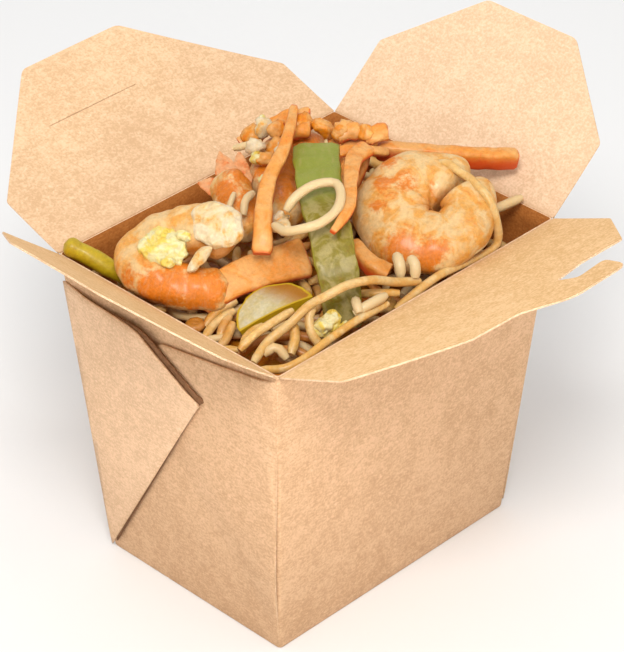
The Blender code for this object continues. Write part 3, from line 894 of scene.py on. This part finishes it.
# %% Fins
fin_finish = food_finish("prawn_shell", (248, 158, 98), (250, 186, 134), (236, 112, 58), 0.22,
                         0.004, 0.4, 0.2, 0.1)[0]
for k, route in enumerate([[(-5.5, 24.5, 109), (-3.5, 29.5, 112.5), (-2, 32.5, 114.5)],
                           [(-7.5, 24, 108), (-10.5, 27.5, 109), (-12.5, 30.5, 109.5)],
                           [(-4, 22.5, 109), (0, 26.5, 112.5), (1.5, 28.5, 114.5)]]):
    bm = sweep(smooth_route(route, 22), TILTED,
               lambda t: (3.3 * MM * (1.06 - t ** 2.2), 0.8 * MM * (1.1 - t)), 14)
    roughen(bm, 0.45 * MM, 2.2 * MM, 3, k)
    finish_piece(f"tail_fin_{k}", bm, [fin_finish], smooth=70)

# %% [markdown]
# ## Scrambled egg
# Egg sets in soft curds full of small holes. Each lump starts as an icosphere, stretched, then
# pushed in and out by lumpy noise, with pits where a second noise is lowest.

# %% Egg
egg_finish = food_finish("egg_curd", (255, 226, 112), (255, 244, 190), (250, 186, 50), 0.17,
                         0.004, 0.3, 0.35, 0.1)[0]
egg_white_finish = food_finish("egg_white", (252, 218, 160), (254, 234, 196), (252, 172, 52),
                               0.23, 0.006, 0.3, 0.3, 0.1)[0]
EGG_UP = (-0.4, -0.3, 0.86)


def egg_lump(name, centre, size, seed, nodes=(), pits=1.0, finish=egg_finish, lumps=1.3):
    bm = bmesh.new()
    bmesh.ops.create_icosphere(bm, subdivisions=5 if max(size) > 6 else 4, radius=1.0)
    bmesh.ops.scale(bm, vec=Vector(size) * MM / 2, verts=bm.verts[:])
    bm.normal_update()
    for v in bm.verts:
        lump = noise.fractal(v.co / (4.2 * MM) + Vector((seed, 0, 0)), 0.9, 2.0, 3)
        pit = max(noise.noise(v.co / (1.5 * MM) + Vector((0, seed, 0))) - 0.18, 0.0)
        v.co += v.normal * (lump * lumps * MM - pit * 1.6 * pits * MM)
    lean = Vector((0, 0, 1)).rotation_difference(Vector(EGG_UP)).to_matrix().to_4x4()
    lean.translation = Vector(centre) * MM
    bmesh.ops.transform(bm, matrix=lean, verts=bm.verts[:])
    return finish_piece(name, bm, [finish], stands_for=nodes, smooth=80)


egg_lump("egg_curd_left", (-42.2, 12.8, 109.3), (13, 14, 5.5), 3.0, ["egg_left"])
egg_lump("egg_curd_middle", (-29.8, 4.6, 115.0), (13.0, 15.5, 6.0), 8.0, ["egg_middle"], 0.15,
         egg_white_finish, lumps=0.8)
egg_lump("egg_shred", (-39.2, 1.8, 109.8), (9.5, 3.4, 3.0), 5.0, (), 0.2, egg_white_finish,
         lumps=0.6)
egg_lump("egg_curd_front", (-27.5, -34.6, 99.8), (8, 6, 7), 12.0)

# %% [markdown]
# ## Carrot
# Carrot sticks are cut square, so their sides are flat and their corners only a little rounded.
# Their sides and underside are painted a deeper orange as shade. The finish reads which way round a
# point is, and fine streaks run along the stick as the root's fibres do.

# %% Carrot finish
carrot_finish, tree, shader, colour = food_finish(
    "carrot_flesh", (254, 166, 80), (254, 188, 116), (250, 120, 18), 0.16, 0.006, 0.3, 0.3, 0.08)
t, across, facing = swept_place(tree)
fibre = streaks(tree, t, across, facing, 2.0, 7.0, 3.0)
colour = glaze(tree, colour, ramp(tree, fibre, 0.42, 0.66), 0.30, (254, 190, 118))
# Painted shade: the sides and underside turn a deeper orange.
colour = glaze(tree, colour, fall(tree, facing, -0.15, 0.60), 0.85, (246, 92, 4))
ends = maths(tree, "ADD", ramp(tree, t, 0.985, 1.0), fall(tree, t, 0.0, 0.015))
colour = glaze(tree, colour, ends, 0.7, (246, 104, 6))
over(tree, shader, colour)

# %% [markdown]
# A cut stick is a sweep whose ring is squared by a power below one, and trimmed at its two ends.

# %% A cut stick
def stick(name, route, wide, thick, start, end, facing, nodes=(), count=44, square=0.55,
          finish=carrot_finish, seed=0.0, rough=0.3):
    """wide and thick in mm; start and end scale the section from one end to the other."""
    def section(t):
        grow = start + (end - start) * t
        trim = min(1.0, 0.80 + 12 * min(t, 1 - t))
        return wide * MM / 2 * grow * trim, thick * MM / 2 * (0.5 + 0.5 * grow) * trim
    bm = sweep(smooth_route(route, count), facing, section, 20, square)
    roughen(bm, rough * MM, 4.5 * MM, 2, seed)
    return finish_piece(name, bm, [finish], stands_for=nodes, smooth=45)

# %% [markdown]
# Each carrot piece is a route of a few points in millimetres with its width and thickness. The last
# vector is the way its flat side faces. Nothing here is straight: cooked sticks bend a little.

# %% Carrot sticks
TOWARDS = (-0.45, -0.45, 0.77)
UPWARD = (-0.1, -0.1, 1.0)
stick("carrot_upright_stick", [(17, 22, 124.5), (8.5, 15.5, 123.5), (0.2, 10, 122.2),
                               (-8, 6.3, 120), (-16, 0.5, 117.5), (-22.5, -5.5, 114.5),
                               (-26, -8.5, 110)],
      5.4, 4.2, 0.45, 1.05, TOWARDS, ["carrot_upright"], seed=1.0)
stick("carrot_rim_stick", [(30, 2.5, 113.4), (38, -6.5, 112.7), (48, -17, 111.4),
                           (58.3, -24.8, 110)],
      4.8, 6.4, 0.8, 0.95, UPWARD, ["carrot_rim"], seed=2.0)
stick("carrot_curl_shred", [(22, -1.5, 119.5), (13, -5, 121), (4, -12.5, 121), (-4, -20, 120.5),
                            (-11, -23.5, 120), (-15.5, -24.5, 119)],
      4.2, 2.4, 1.3, 0.55, TOWARDS, ["carrot_curl"], seed=3.0)
stick("carrot_wedge_piece", [(0.5, -17, 104.5), (-1.5, -22, 104), (-1.5, -26, 102.5),
                             (0.5, -30, 100.5)], 6, 5.5, 0.6, 1.0, UPWARD, ["carrot_wedge"],
      seed=4.0)
stick("carrot_slice_piece", [(-40.5, 0.8, 97.6), (-35.5, -2.6, 100.9), (-28, -5.2, 102.9),
                             (-19, -8.3, 103.3), (-12, -11.5, 103.8)],
      11.5, 4.0, 0.75, 1.0, (-0.38, -0.44, 0.82), ["carrot_slice"], seed=5.0)
stick("carrot_slab_piece", [(28, 11.5, 115.5), (21, 4.5, 113.5), (13.5, 0.5, 110), (9, -2.5, 105)],
      12.5, 3.6, 1.0, 0.75, (-0.3, -0.25, 0.92), ["carrot_slab"], seed=6.0)
for k, (x, y, z) in enumerate([(15.5, 19.5, 119.5), (24.5, 8.5, 119.5), (29, 2.5, 119.2)]):
    stick(f"carrot_cube_{k}_piece", [(x - 2.6, y + 2.0, z - 0.5), (x, y, z), (x + 2.6, y - 2, z)],
          6.0, 4.6, 1.0, 0.75, TOWARDS, [f"carrot_cube_{k}"], 16, 0.8, seed=7.0 + k, rough=1.1)

stick("carrot_shred_back", [(5.0, 32.0, 114.2), (11.0, 29.0, 117.0), (17.5, 25.5, 119.8),
                            (21.5, 20.5, 120.6)], 5.0, 2.4, 0.7, 1.0, TOWARDS, seed=11.0,
      square=0.8, rough=0.8)
stick("carrot_shred_rim", [(12.0, 6.0, 117.8), (18.0, 2.5, 118.6), (24.0, -0.5, 117.2),
                           (30.0, -1.5, 114.5)], 3.4, 2.6, 0.9, 0.7, TOWARDS, seed=12.0)

# %% [markdown]
# ## Small bits
# Crumbs of egg, onion and carrot cling to the pieces. Each kind is one mesh of small lumps, every
# one an icosphere that is stretched, turned and dented.

# %% Crumbs
def crumbs(name, finish, spots, seed):
    """spots are (x, y, z, width) in millimetres."""
    rng = np.random.default_rng(seed)
    bm = bmesh.new()
    for x, y, z, width in spots:
        lump = bmesh.ops.create_icosphere(bm, subdivisions=3, radius=0.5)["verts"]
        shape = Vector(rng.uniform(0.55, 1.0, 3)) * width * MM
        bmesh.ops.scale(bm, vec=shape, verts=lump)
        spin = Matrix.Rotation(rng.uniform(0, math.pi), 3, Vector(rng.normal(size=3)).normalized())
        bmesh.ops.rotate(bm, cent=(0, 0, 0), matrix=spin, verts=lump)
        bmesh.ops.translate(bm, vec=Vector((x, y, z)) * MM, verts=lump)
    roughen(bm, 1.0 * MM, 2.2 * MM, 3, seed)
    return finish_piece(name, bm, [finish], smooth=80)


crumbs("egg_crumbs", egg_finish,
       [(10.9, 28.7, 119.4, 4.5), (2.6, 22.6, 114.6, 5), (-2.6, 14.0, 113.4, 4),
        (-45.0, 8.0, 108.3, 4), (-37.5, 9.5, 112.5, 4.5), (-24.6, -37.8, 99.6, 3.5)], 3)
crumbs("onion_bits", egg_white_finish,
       [(10.4, 27.4, 119.0, 6), (4.6, 25.0, 116.2, 6.5), (-15.3, -5.8, 112.0, 6),
        (-13.0, -2.5, 112.6, 5), (8.5, 18.5, 116.5, 5.5)], 4)
crumb_finish = food_finish("carrot_crumb", (251, 160, 58), (253, 190, 118), (246, 124, 26),
                           0.17, 0.004, 0.35, 0.3, 0.08)[0]
crumbs("carrot_crumbs", crumb_finish,
       [(8.8, 30.2, 116.0, 7), (13.5, 24.5, 118.5, 8), (17.6, 20.4, 119.2, 8.5),
        (21.0, 14.5, 119.6, 8), (23.6, 9.6, 119.8, 7.5), (27.0, 4.8, 119.6, 7),
        (3.8, 20.5, 114.8, 6), (9.0, 21.0, 115.0, 7)], 5)

# %% [markdown]
# ## Green vegetables
# The long pepper strip is skin side up at the top, where it is a plain bright green, and turns to
# its pale ribbed flesh lower down. It is one more flat stick with a finish of its own.

# %% Pepper strip
pepper_finish, tree, shader, colour = food_finish(
    "pepper_flesh", (156, 142, 58), (192, 176, 116), (160, 126, 26), 0.17, 0.0045, 0.3, 0.4, 0.05)
t, across, facing = swept_place(tree)
colour = glaze(tree, colour, fall(tree, t, 0.30, 0.46), 0.85, (162, 172, 78))
edges = ramp(tree, maths(tree, "ABSOLUTE", across), 0.80, 0.97)
colour = glaze(tree, colour, edges, 0.8, (168, 158, 40))
ridges = streaks(tree, t, across, facing, 3.0, 5.0, 2.0)
colour = glaze(tree, colour, ramp(tree, ridges, 0.52, 0.70), 0.35, (194, 176, 114))
over(tree, shader, colour)
stick("pepper_strip_piece", [(12.8, 9.2, 119.5), (4.4, 0.6, 119), (-3.3, -8.7, 117.5),
                             (-10, -18, 115), (-14.5, -24.5, 111.5), (-17.1, -28.9, 106),
                             (-18.6, -31.4, 99), (-19.1, -32.9, 94)],
      14, 2.4, 0.95, 0.75, (-0.3, -0.28, 0.9), ["pepper_strip"], 64, 0.5, pepper_finish,
      10.0, 0.5)

# %% [markdown]
# ## Courgette slice
# A half moon of pale flesh with a rim of skin. It starts as a disc, which a plane cuts in half and a
# grid divides. Each point notes how near the skin it is before the sheet is domed, turned into
# place and made thick.

# %% Courgette finish
courgette_finish, tree, shader, colour = food_finish(
    "courgette_flesh", (230, 214, 158), (236, 226, 190), (206, 170, 60), 0.12, 0.005, 0.35, 0.3,
    0.1)
# Painted shade: the slice turns dark olive towards one end.
colour = glaze(tree, colour, painted(tree, "painted_end_shade"), 1.0, (196, 134, 18))
# The yellow skin along the rim and the cut side; its colour is raised as painted light on the cut
# side, which faces down.
colour = glaze(tree, colour, ramp(tree, painted(tree, "skin"), 0.35, 0.75), 1.0, (228, 190, 44))
over(tree, shader, colour)

# %% [markdown]
# The slice stands on its cut side: the chord says where that runs, the bulge which way the round
# side points.

# %% Courgette half moon
CHORD = (Vector((-41, -15.2, 94.8)) * MM, Vector((-22.4, -23.6, 101.9)) * MM)
BULGE = Vector((2, 9.5, 1.5))
SLICE_DEPTH = 10.5 * MM
SLICE_THICK = 4.0 * MM
run = (CHORD[1] - CHORD[0]).normalized()
bulge = (BULGE - run * BULGE.dot(run)).normalized()
normal = run.cross(bulge)
half = (CHORD[1] - CHORD[0]).length / 2
bm = bmesh.new()
bmesh.ops.create_circle(bm, cap_ends=True, segments=72, radius=1.0)
bmesh.ops.bisect_plane(bm, geom=bm.verts[:] + bm.edges[:] + bm.faces[:], plane_co=(0, 0, 0),
                       plane_no=(0, 1, 0), clear_inner=True)
cut_grid(bm, (1, 0, 0), -1, 1, 0.08)
cut_grid(bm, (0, 1, 0), 0, 1, 0.1)
turn = Matrix((run * half, bulge * SLICE_DEPTH, normal * MM)).transposed().to_4x4()
turn.translation = (CHORD[0] + CHORD[1]) / 2
skin_layer = bm.verts.layers.float.new("skin")
end_shade_layer = bm.verts.layers.float.new("painted_end_shade")
for v in bm.verts:
    v[skin_layer] = max(eased(v.co.xy.length, 0.88, 1.0), 1 - eased(v.co.y, 0.0, 0.12))
    # How much painted shade each point takes, rising towards one end.
    v[end_shade_layer] = eased(v.co.x + 0.5 * v.co.y, 0.05, 0.9)
    v.co.z = 1.2 * (1 - v.co.xy.length ** 2) - 0.6 * v.co.x
bmesh.ops.transform(bm, matrix=turn, verts=bm.verts[:])
bmesh.ops.solidify(bm, geom=bm.faces[:], thickness=SLICE_THICK)
bmesh.ops.recalc_face_normals(bm, faces=bm.faces[:])
roughen(bm, 0.35 * MM, 4 * MM, 2, 5.0)
finish_piece("courgette_half_moon", bm, [courgette_finish], stands_for=["courgette_slice"],
             smooth=50)

# %% [markdown]
# ## Green bean
# A plain round pod that leans out over the left corner: one short sweep with rounded ends, whose
# slight waves are the seeds inside.

# %% Green bean
bean_finish = food_finish("bean_pod", (212, 180, 34), (222, 194, 64), (140, 108, 12), 0.17,
                          0.005, 0.4, 0.2, 0.05)[0]
bm = sweep(smooth_route([(-52.6, 41.5, 103.0), (-48.9, 35.3, 99.9), (-45.5, 30, 96.5),
                         (-41, 25, 93.5)], 40), (0, 0, 1),
           lambda t: (2.8 * MM * round_end(t, 0.1) * (0.94 + 0.06 * math.sin(t * 16)),
                      2.7 * MM * round_end(t, 0.1)), 18)
roughen(bm, 0.2 * MM, 4 * MM, 2)
finish_piece("green_bean_pod", bm, [bean_finish], stands_for=["green_bean"],
             smooth=60)

# %% [markdown]
# ## Loose noodles
# Noodles fall where they can. Each strand is a wandering line drawn over a map of the heap's
# height, lifted to rest on what lies below it, and then added to the map. The heap is full when it
# reaches the outline that the frame gives, and no strand rises into a topping above it.

# %% Height maps of the heap
CELL = 0.8 * MM
NOODLE = 1.3 * MM
MARGIN = 1.0 * MM
HEAP_FOOT = 85 * MM
HEAP_LOW = 90 * MM
HEAP_EDGE = 94 * MM
CLEAR_ABOVE = 130 * MM
RAY_START = 160 * MM


def bvh_of(names):
    """One search tree over the meshes of some nodes."""
    points, faces = [], []
    for name in names:
        mesh = frame["nodes"][name].data
        first = len(points)
        points += [v.co.copy() for v in mesh.vertices]
        faces += [[first + k for k in p.vertices] for p in mesh.polygons]
    return BVHTree.FromPolygons(points, faces)


heap_tree = bvh_of(["noodle_heap"])
toppings = [n for n in frame["record"]["behaviour"]["bodies"]["root"]
            if n not in ("carton", "noodle_heap")]
topping_tree = bvh_of(toppings)
inside = wall_half(HEAP_EDGE) - Vector((MARGIN + BOARD, MARGIN + BOARD))
columns, rows = (int(2 * s / CELL) + 1 for s in inside)
xs = np.linspace(-inside.x, inside.x, columns)
ys = np.linspace(-inside.y, inside.y, rows)
outline = np.full((columns, rows), HEAP_LOW)
ceiling = np.full((columns, rows), CLEAR_ABOVE)
for i, x in enumerate(xs):
    for j, y in enumerate(ys):
        hit = heap_tree.ray_cast(Vector((x, y, RAY_START)), Vector((0, 0, -1)))[0]
        if hit:
            outline[i, j] = hit.z
        above = topping_tree.ray_cast(Vector((x, y, HEAP_FOOT)), Vector((0, 0, 1)))[0]
        if above:
            ceiling[i, j] = above.z
print("heap outline from", round(outline.min() / MM, 1), "to", round(outline.max() / MM, 1), "mm")

# %% [markdown]
# ## Core of the heap
# Strands all the way down would never be seen. A plain core fills the carton to a little below the
# outline. It is a grid draped over the height map, with a skirt pulled down inside the walls.

# %% Core under the strands
CORE_DROP = 5.5 * MM
CORE_FOOT = 2 * MM
height = outline - CORE_DROP
bm = bmesh.new()
bmesh.ops.create_grid(bm, x_segments=60, y_segments=48, size=1.0)
for v in bm.verts:
    v.co.x *= inside.x
    v.co.y *= inside.y
    i, j = int(round((v.co.x + inside.x) / CELL)), int(round((v.co.y + inside.y) / CELL))
    v.co.z = height[min(i, columns - 1), min(j, rows - 1)]
sides = [e for e in bm.edges if e.is_boundary]
skirt = bmesh.ops.extrude_edge_only(bm, edges=sides)["geom"]
foot = wall_half(CORE_FOOT) - Vector((2 * BOARD, 2 * BOARD))
for v in [g for g in skirt if isinstance(g, bmesh.types.BMVert)]:
    v.co = (v.co.x * foot.x / inside.x, v.co.y * foot.y / inside.y, CORE_FOOT)
bmesh.ops.holes_fill(bm, edges=[e for e in bm.edges if e.is_boundary], sides=0)
bmesh.ops.recalc_face_normals(bm, faces=bm.faces[:])
# The core shows only in the gaps between strands, and its dark amber is painted shade there.
core_shade_finish = food_finish("noodle_core_painted_shade", (226, 140, 40), (236, 160, 60), (196, 102, 16), 0.22,
                          0.004, 0.3, 0.6, 0.0)[0]
finish_piece("noodle_core", bm, [core_shade_finish], smooth=60)

# %% [markdown]
# ## How a strand comes to rest
# A strand's height at each point is that of what lies below it, and a soft arch keeps it from
# bending sharply. Once it lies, the height map rises by its round section.

# %% Resting a strand on the heap
def footprint(radius):
    reach = int(math.ceil(radius / CELL))
    spots = [(i, j) for i in range(-reach, reach + 1) for j in range(-reach, reach + 1)
             if math.hypot(i, j) * CELL <= radius]
    offsets = np.array(spots)
    return offsets, np.sqrt(np.maximum(radius ** 2 - (np.hypot(*offsets.T) * CELL) ** 2, 0.0))


OFFSETS, DOME = footprint(NOODLE)
SAG = 11.0
STEP = 2.0 * MM


def cells_under(plan):
    i = np.rint((plan[:, 0] + inside.x) / CELL).astype(int)[:, None] + OFFSETS[:, 0]
    j = np.rint((plan[:, 1] + inside.y) / CELL).astype(int)[:, None] + OFFSETS[:, 1]
    return np.clip(i, 0, columns - 1), np.clip(j, 0, rows - 1)


def drape(plan):
    """Heights for a strand over plan: on what lies below it, and too stiff to bend sharply."""
    i, j = cells_under(plan)
    rest = (height[i, j] + DOME * 0.8).max(axis=1)
    far = np.concatenate([[0], np.cumsum(np.linalg.norm(np.diff(plan, axis=0), axis=1))])
    arch = rest[None, :] - SAG * (far[:, None] - far[None, :]) ** 2
    return arch.max(axis=1)


def lay(route):
    """Adds a strand to the height map."""
    i, j = cells_under(route[:, :2])
    np.maximum.at(height, (i, j), route[:, 2][:, None] + DOME)


print("a strand rests on", len(OFFSETS), "cells at each of its points")

# %% [markdown]
# A strand's plan starts anywhere and wanders. Only its longest stretch that fits is kept.

# %% Wandering strands
def wander(rng, length):
    """A plan of a loose strand: its heading swings as it goes, and walls turn it along them."""
    count = int(length / STEP)
    swing = np.cumsum(rng.normal(0.0, 0.16, count)) * 0.35 + rng.normal(0.0, 0.05)
    heading = rng.uniform(0, 2 * math.pi) + np.cumsum(swing)
    start = np.array([rng.uniform(-inside.x, inside.x), rng.uniform(-inside.y, inside.y)])
    steps = np.stack([np.cos(heading), np.sin(heading)], 1) * STEP
    plan = start + np.cumsum(steps, axis=0)
    edge = np.array([inside.x - NOODLE, inside.y - NOODLE])
    plan = edge * np.sin(np.arcsin(np.clip(plan / edge, -1, 1)) * 0.98)
    for _ in range(3):
        plan[1:-1] = (plan[:-2] + 2 * plan[1:-1] + plan[2:]) / 4
    return plan


def longest_run(fits):
    """(length, start) of the longest stretch of True."""
    best, start = (0, 0), None
    for k, good in enumerate(list(fits) + [False]):
        if good and start is None:
            start = k
        if not good and start is not None:
            best, start = max(best, (k - start, start)), None
    return best


print("longest run of", [1, 0, 1, 1], "is", longest_run([1, 0, 1, 1]))

# %% [markdown]
# ## Fill the heap
# Strand after strand is tried. The longest stretch that stays under the outline, and clear of the
# toppings, is kept if it is long enough to read as a noodle, and its loose ends droop.

# %% Fill the heap
TRIES = 9000
STRANDS = 330
SHORTEST = 7
PROUD = 1.8 * MM
rng = np.random.default_rng(7)
strands = []
for attempt in range(TRIES):
    if len(strands) >= STRANDS:
        break
    plan = wander(rng, rng.uniform(35, 105) * MM)
    z = drape(plan)
    i, j = cells_under(plan)
    top = np.minimum(outline[i, j].min(axis=1) + PROUD, ceiling[i, j].min(axis=1) - NOODLE * 0.4)
    count, start = longest_run(z + NOODLE * 0.5 < top)
    if count < SHORTEST:
        continue
    kept = slice(start, start + count)
    route = np.column_stack([plan[kept], z[kept]])
    dip = np.minimum(np.arange(len(route)), np.arange(len(route))[::-1])
    route[:, 2] -= 0.5 * MM * np.clip(2 - dip, 0, 2) * rng.uniform(0, 1)
    lay(route)
    strands.append((route, NOODLE * rng.uniform(0.88, 1.06), rng.uniform(0, 1)))
print(len(strands), "loose strands after", attempt, "tries")

# %% [markdown]
# ## Noodles that lie on top
# The strands that catch the eye are placed one by one: the ring on the pepper, the long one across
# the front corner, those that hug the coiled prawn, and short broken bits.

# %% Strands on top
# (radius in mm, paleness from 0 to 1, points in mm); where a strand lies in shade, its low paleness
# is painted shade
PLACED = [
    (1.35, 0.95, [(-20.3, -7.5, 116.0), (-22.4, -14.1, 118.0), (-20.1, -18.2, 119.5),
                  (-15.7, -20.7, 120.5), (-9.5, -20.3, 121.5), (-4.3, -16.9, 122.5),
                  (-1.7, -12.1, 123.0), (-6.1, -8.8, 123.0), (-11.6, -7.2, 121.0),
                  (-15.2, -7.0, 118.0)]),
    (1.25, 0.6, [(-49.6, -28.9, 96.0), (-42.1, -26.8, 98.0), (-35.7, -29.1, 102.0),
                 (-30.6, -30.4, 105.5), (-26.6, -34.2, 109.0), (-20.9, -35.6, 110.0),
                 (-12.3, -36.6, 108.0), (-4.3, -37.5, 104.0), (3.8, -38.5, 101.0)]),
    (1.2, 0.5, [(-49.0, -23.2, 97.0), (-44.2, -23.5, 99.5), (-38.6, -25.0, 101.5),
                (-32.1, -26.3, 103.0)]),
    (1.3, 0.55, [(-28.2, -30.3, 105.0), (-31.0, -31.1, 102.0), (-32.2, -33.8, 98.5),
                 (-31.3, -36.5, 95.5)]),
    (1.45, 0.35, [(-33.6, -27.0, 101.0), (-35.1, -30.1, 98.0), (-38.9, -32.2, 95.0)]),
    (1.35, 0.8, [(-44.9, -28.1, 96.0), (-41.8, -29.6, 97.5), (-41.0, -32.8, 95.0)]),
    (1.2, 0.5, [(-50.2, -31.8, 95.5), (-46.0, -37.1, 96.5), (-40.3, -39.1, 98.0),
                (-33.5, -39.4, 99.5), (-25.4, -39.4, 100.5), (-17.7, -39.6, 101.0),
                (-9.9, -39.8, 100.8)]),
    (1.25, 0.6, [(32.6, -17.5, 116.2), (33.2, -21.2, 117.9), (33.5, -24.4, 117.0),
                 (33.7, -29.2, 116.1), (32.5, -33.4, 115.8), (32.6, -35.6, 114.8),
                 (32.4, -38.0, 112.8), (32.1, -39.6, 110.8), (32.2, -40.6, 107.6),
                 (32.8, -40.8, 103.6), (32.0, -40.5, 99.9), (26.2, -40.3, 99.2),
                 (18.1, -40.3, 100.1), (10.0, -40.3, 100.9), (1.6, -40.0, 99.5),
                 (-6.5, -39.5, 97.0)]),
    (1.0, 0.9, [(29.4, -39.8, 103.4), (24.2, -41.5, 103.7), (20.6, -40.8, 103.0),
                (15.6, -37.4, 102.7)]),
    (1.4, 0.85, [(42.0, -27.6, 100.5), (48.7, -30.4, 102.0), (53.0, -31.4, 102.5)]),
    (1.6, 1.0, [(2.1, -31.4, 107.0), (0.5, -34.2, 106.0), (-0.4, -35.5, 103.0)]),
    (1.5, 1.0, [(3.6, -35.1, 107.0), (3.0, -37.5, 106.0), (1.9, -38.6, 103.0)]),
    (1.45, 1.0, [(-20.3, -37.4, 101.5), (-17.8, -38.8, 103.0), (-13.9, -39.4, 103.5),
                 (-10.0, -38.9, 103.0)]),
    (1.4, 1.0, [(-17.0, -34.6, 103.0), (-19.3, -37.4, 103.8), (-20.2, -39.2, 102.5)]),
    (1.2, 0.3, [(-12.1, -30.2, 100.5), (-8.9, -35.0, 101.5), (-4.2, -38.6, 101.0)]),
    # These short strands lie in shade: their low paleness is painted shade.
    (1.4, 0.25, [(-43.7, -4.4, 93.0), (-39.0, -4.2, 95.5), (-33.8, -6.6, 98.0)]),
    (1.4, 0.15, [(-44.2, -10.8, 92.5), (-41.7, -9.5, 94.5), (-38.1, -8.4, 96.0)]),
    (1.3, 0.3, [(-47.0, -7.5, 92.5), (-42.0, -7.0, 94.8), (-36.5, -8.6, 96.8)]),
    (1.3, 0.2, [(-48.0, -14.0, 92.5), (-44.5, -13.6, 94.0), (-40.0, -11.5, 95.8)]),
    (1.3, 0.35, [(-46.0, -21.0, 94.0), (-42.5, -19.5, 96.5), (-37.5, -20.5, 98.0)]),
    (1.2, 0.95, [(-9.4, 11.7, 113.0), (-13.4, 10.6, 112.8), (-15.8, 8.9, 110.0)]),
    (0.9, 1.0, [(-12.5, 15.9, 112.5), (-15.1, 14.5, 111.5), (-17.2, 13.8, 109.0)]),
    (1.1, 0.9, [(2.3, 31.3, 114.0), (4.6, 28.0, 115.5), (8.0, 26.0, 116.0)]),
]
for radius, paleness_and_shade, points in PLACED:
    length = sum(math.dist(a, b) for a, b in zip(points, points[1:]))
    strands.append((smooth_route(points, max(int(length / 1.6), 6)), radius * MM, paleness_and_shade))
print(len(PLACED), "strands placed by hand")

# %% [markdown]
# ## Strands into one mesh
# All strands are splines of one curve with a round bevel, a little uneven in thickness and thinner
# at their ends. The curve then becomes a mesh.

# %% Strands into one mesh
curve = bpy.data.curves.new("strands", "CURVE")
curve.dimensions = "3D"
curve.bevel_depth = 1.0
curve.bevel_resolution = 2
curve.use_fill_caps = True
for route, radius, paleness_and_shade in strands:
    spline = curve.splines.new("POLY")
    spline.points.add(len(route) - 1)
    spline.points.foreach_set("co", np.column_stack([route, np.ones(len(route))]).ravel())
    ends = np.minimum(np.arange(len(route)), np.arange(len(route))[::-1])
    uneven = [1 + 0.07 * noise.noise(Vector(point) / (6 * MM)) for point in route]
    sizes = radius * np.where(ends == 0, 0.72, 1.0) * uneven
    spline.points.foreach_set("radius", sizes)
holder = put("strands", curve)
bpy.context.view_layer.update()
noodle_mesh = bpy.data.meshes.new_from_object(
    holder.evaluated_get(bpy.context.evaluated_depsgraph_get()))
bpy.data.objects.remove(holder)
print("noodle mesh has", len(noodle_mesh.vertices), "points")

# %% [markdown]
# ## Shades of the strands
# Noodles aren't all one colour: some are pale and some are stained, and those that lie deep are
# painted brown as shade. Each point of the mesh takes its strand's paleness and its depth below the
# outline.

# %% Shades of the strands
def depth_below(co):
    """0 at the heap's outline, 1 where a strand lies at the bottom of the loose layer."""
    i = min(max(int(round((co.x + inside.x) / CELL)), 0), columns - 1)
    j = min(max(int(round((co.y + inside.y) / CELL)), 0), rows - 1)
    return eased(outline[i, j] - co.z, 0.5 * MM, CORE_DROP)


centres = KDTree(sum(len(route) for route, _, _ in strands))
paleness_and_shade = np.concatenate([np.full(len(route), pale) for route, _, pale in strands])
for k, point in enumerate(np.concatenate([route for route, _, _ in strands])):
    centres.insert(point, k)
centres.balance()
nearest = [centres.find(v.co)[1] for v in noodle_mesh.vertices]
shade_depths = [depth_below(v.co) for v in noodle_mesh.vertices]
for name, values in (("shade", paleness_and_shade[nearest]), ("deep", shade_depths)):
    noodle_mesh.attributes.new(name, "FLOAT", "POINT").data.foreach_set("value", values)
print("shades taken from", len(paleness_and_shade), "points of the strands")

# %% [markdown]
# The finish goes from the strand's own shade to a painted brown shade with its depth.

# %% Noodle finish and piece
noodle_finish, tree, shader, colour = food_finish(
    "noodle_dough", (246, 190, 106), (252, 212, 146), (232, 148, 46), 0.15, 0.005, 0.5, 0.3, 0.15)
shade = painted(tree, "shade")
colour = glaze(tree, colour, ramp(tree, shade, 0.45, 1.05), 1.0, (250, 222, 172))
# Low paleness gives a stained amber; on strands placed in shade it is painted shade.
colour = glaze(tree, colour, fall(tree, shade, -0.1, 0.35), 1.0, (220, 134, 34))
# Painted shade: the deeper a strand lies below the outline, the browner it is.
colour = glaze(tree, colour, painted(tree, "deep"), 0.8, (214, 118, 24))
over(tree, shader, colour)
bm = bmesh.new()
bm.from_mesh(noodle_mesh)
bpy.data.meshes.remove(noodle_mesh)
finish_piece("noodle_strands", bm, [noodle_finish], stands_for=["noodle_heap"],
             smooth=70)

# %% [markdown]
# ## Floor
# A wide pale sheet for the box to stand on. It is no part of the box, so it rides on no body.

# %% Floor
floor_finish, tree, shader = new_finish("pale_floor")
shader.inputs["Base Color"].default_value = (0.77, 0.77, 0.77, 1.0)
shader.inputs["Roughness"].default_value = 0.9
floor_mesh = bpy.data.meshes.new("floor")
bm = bmesh.new()
bmesh.ops.create_grid(bm, x_segments=1, y_segments=1, size=3.0)
bm.to_mesh(floor_mesh)
bm.free()
floor_mesh.materials.append(floor_finish)
floor = put("floor", floor_mesh)
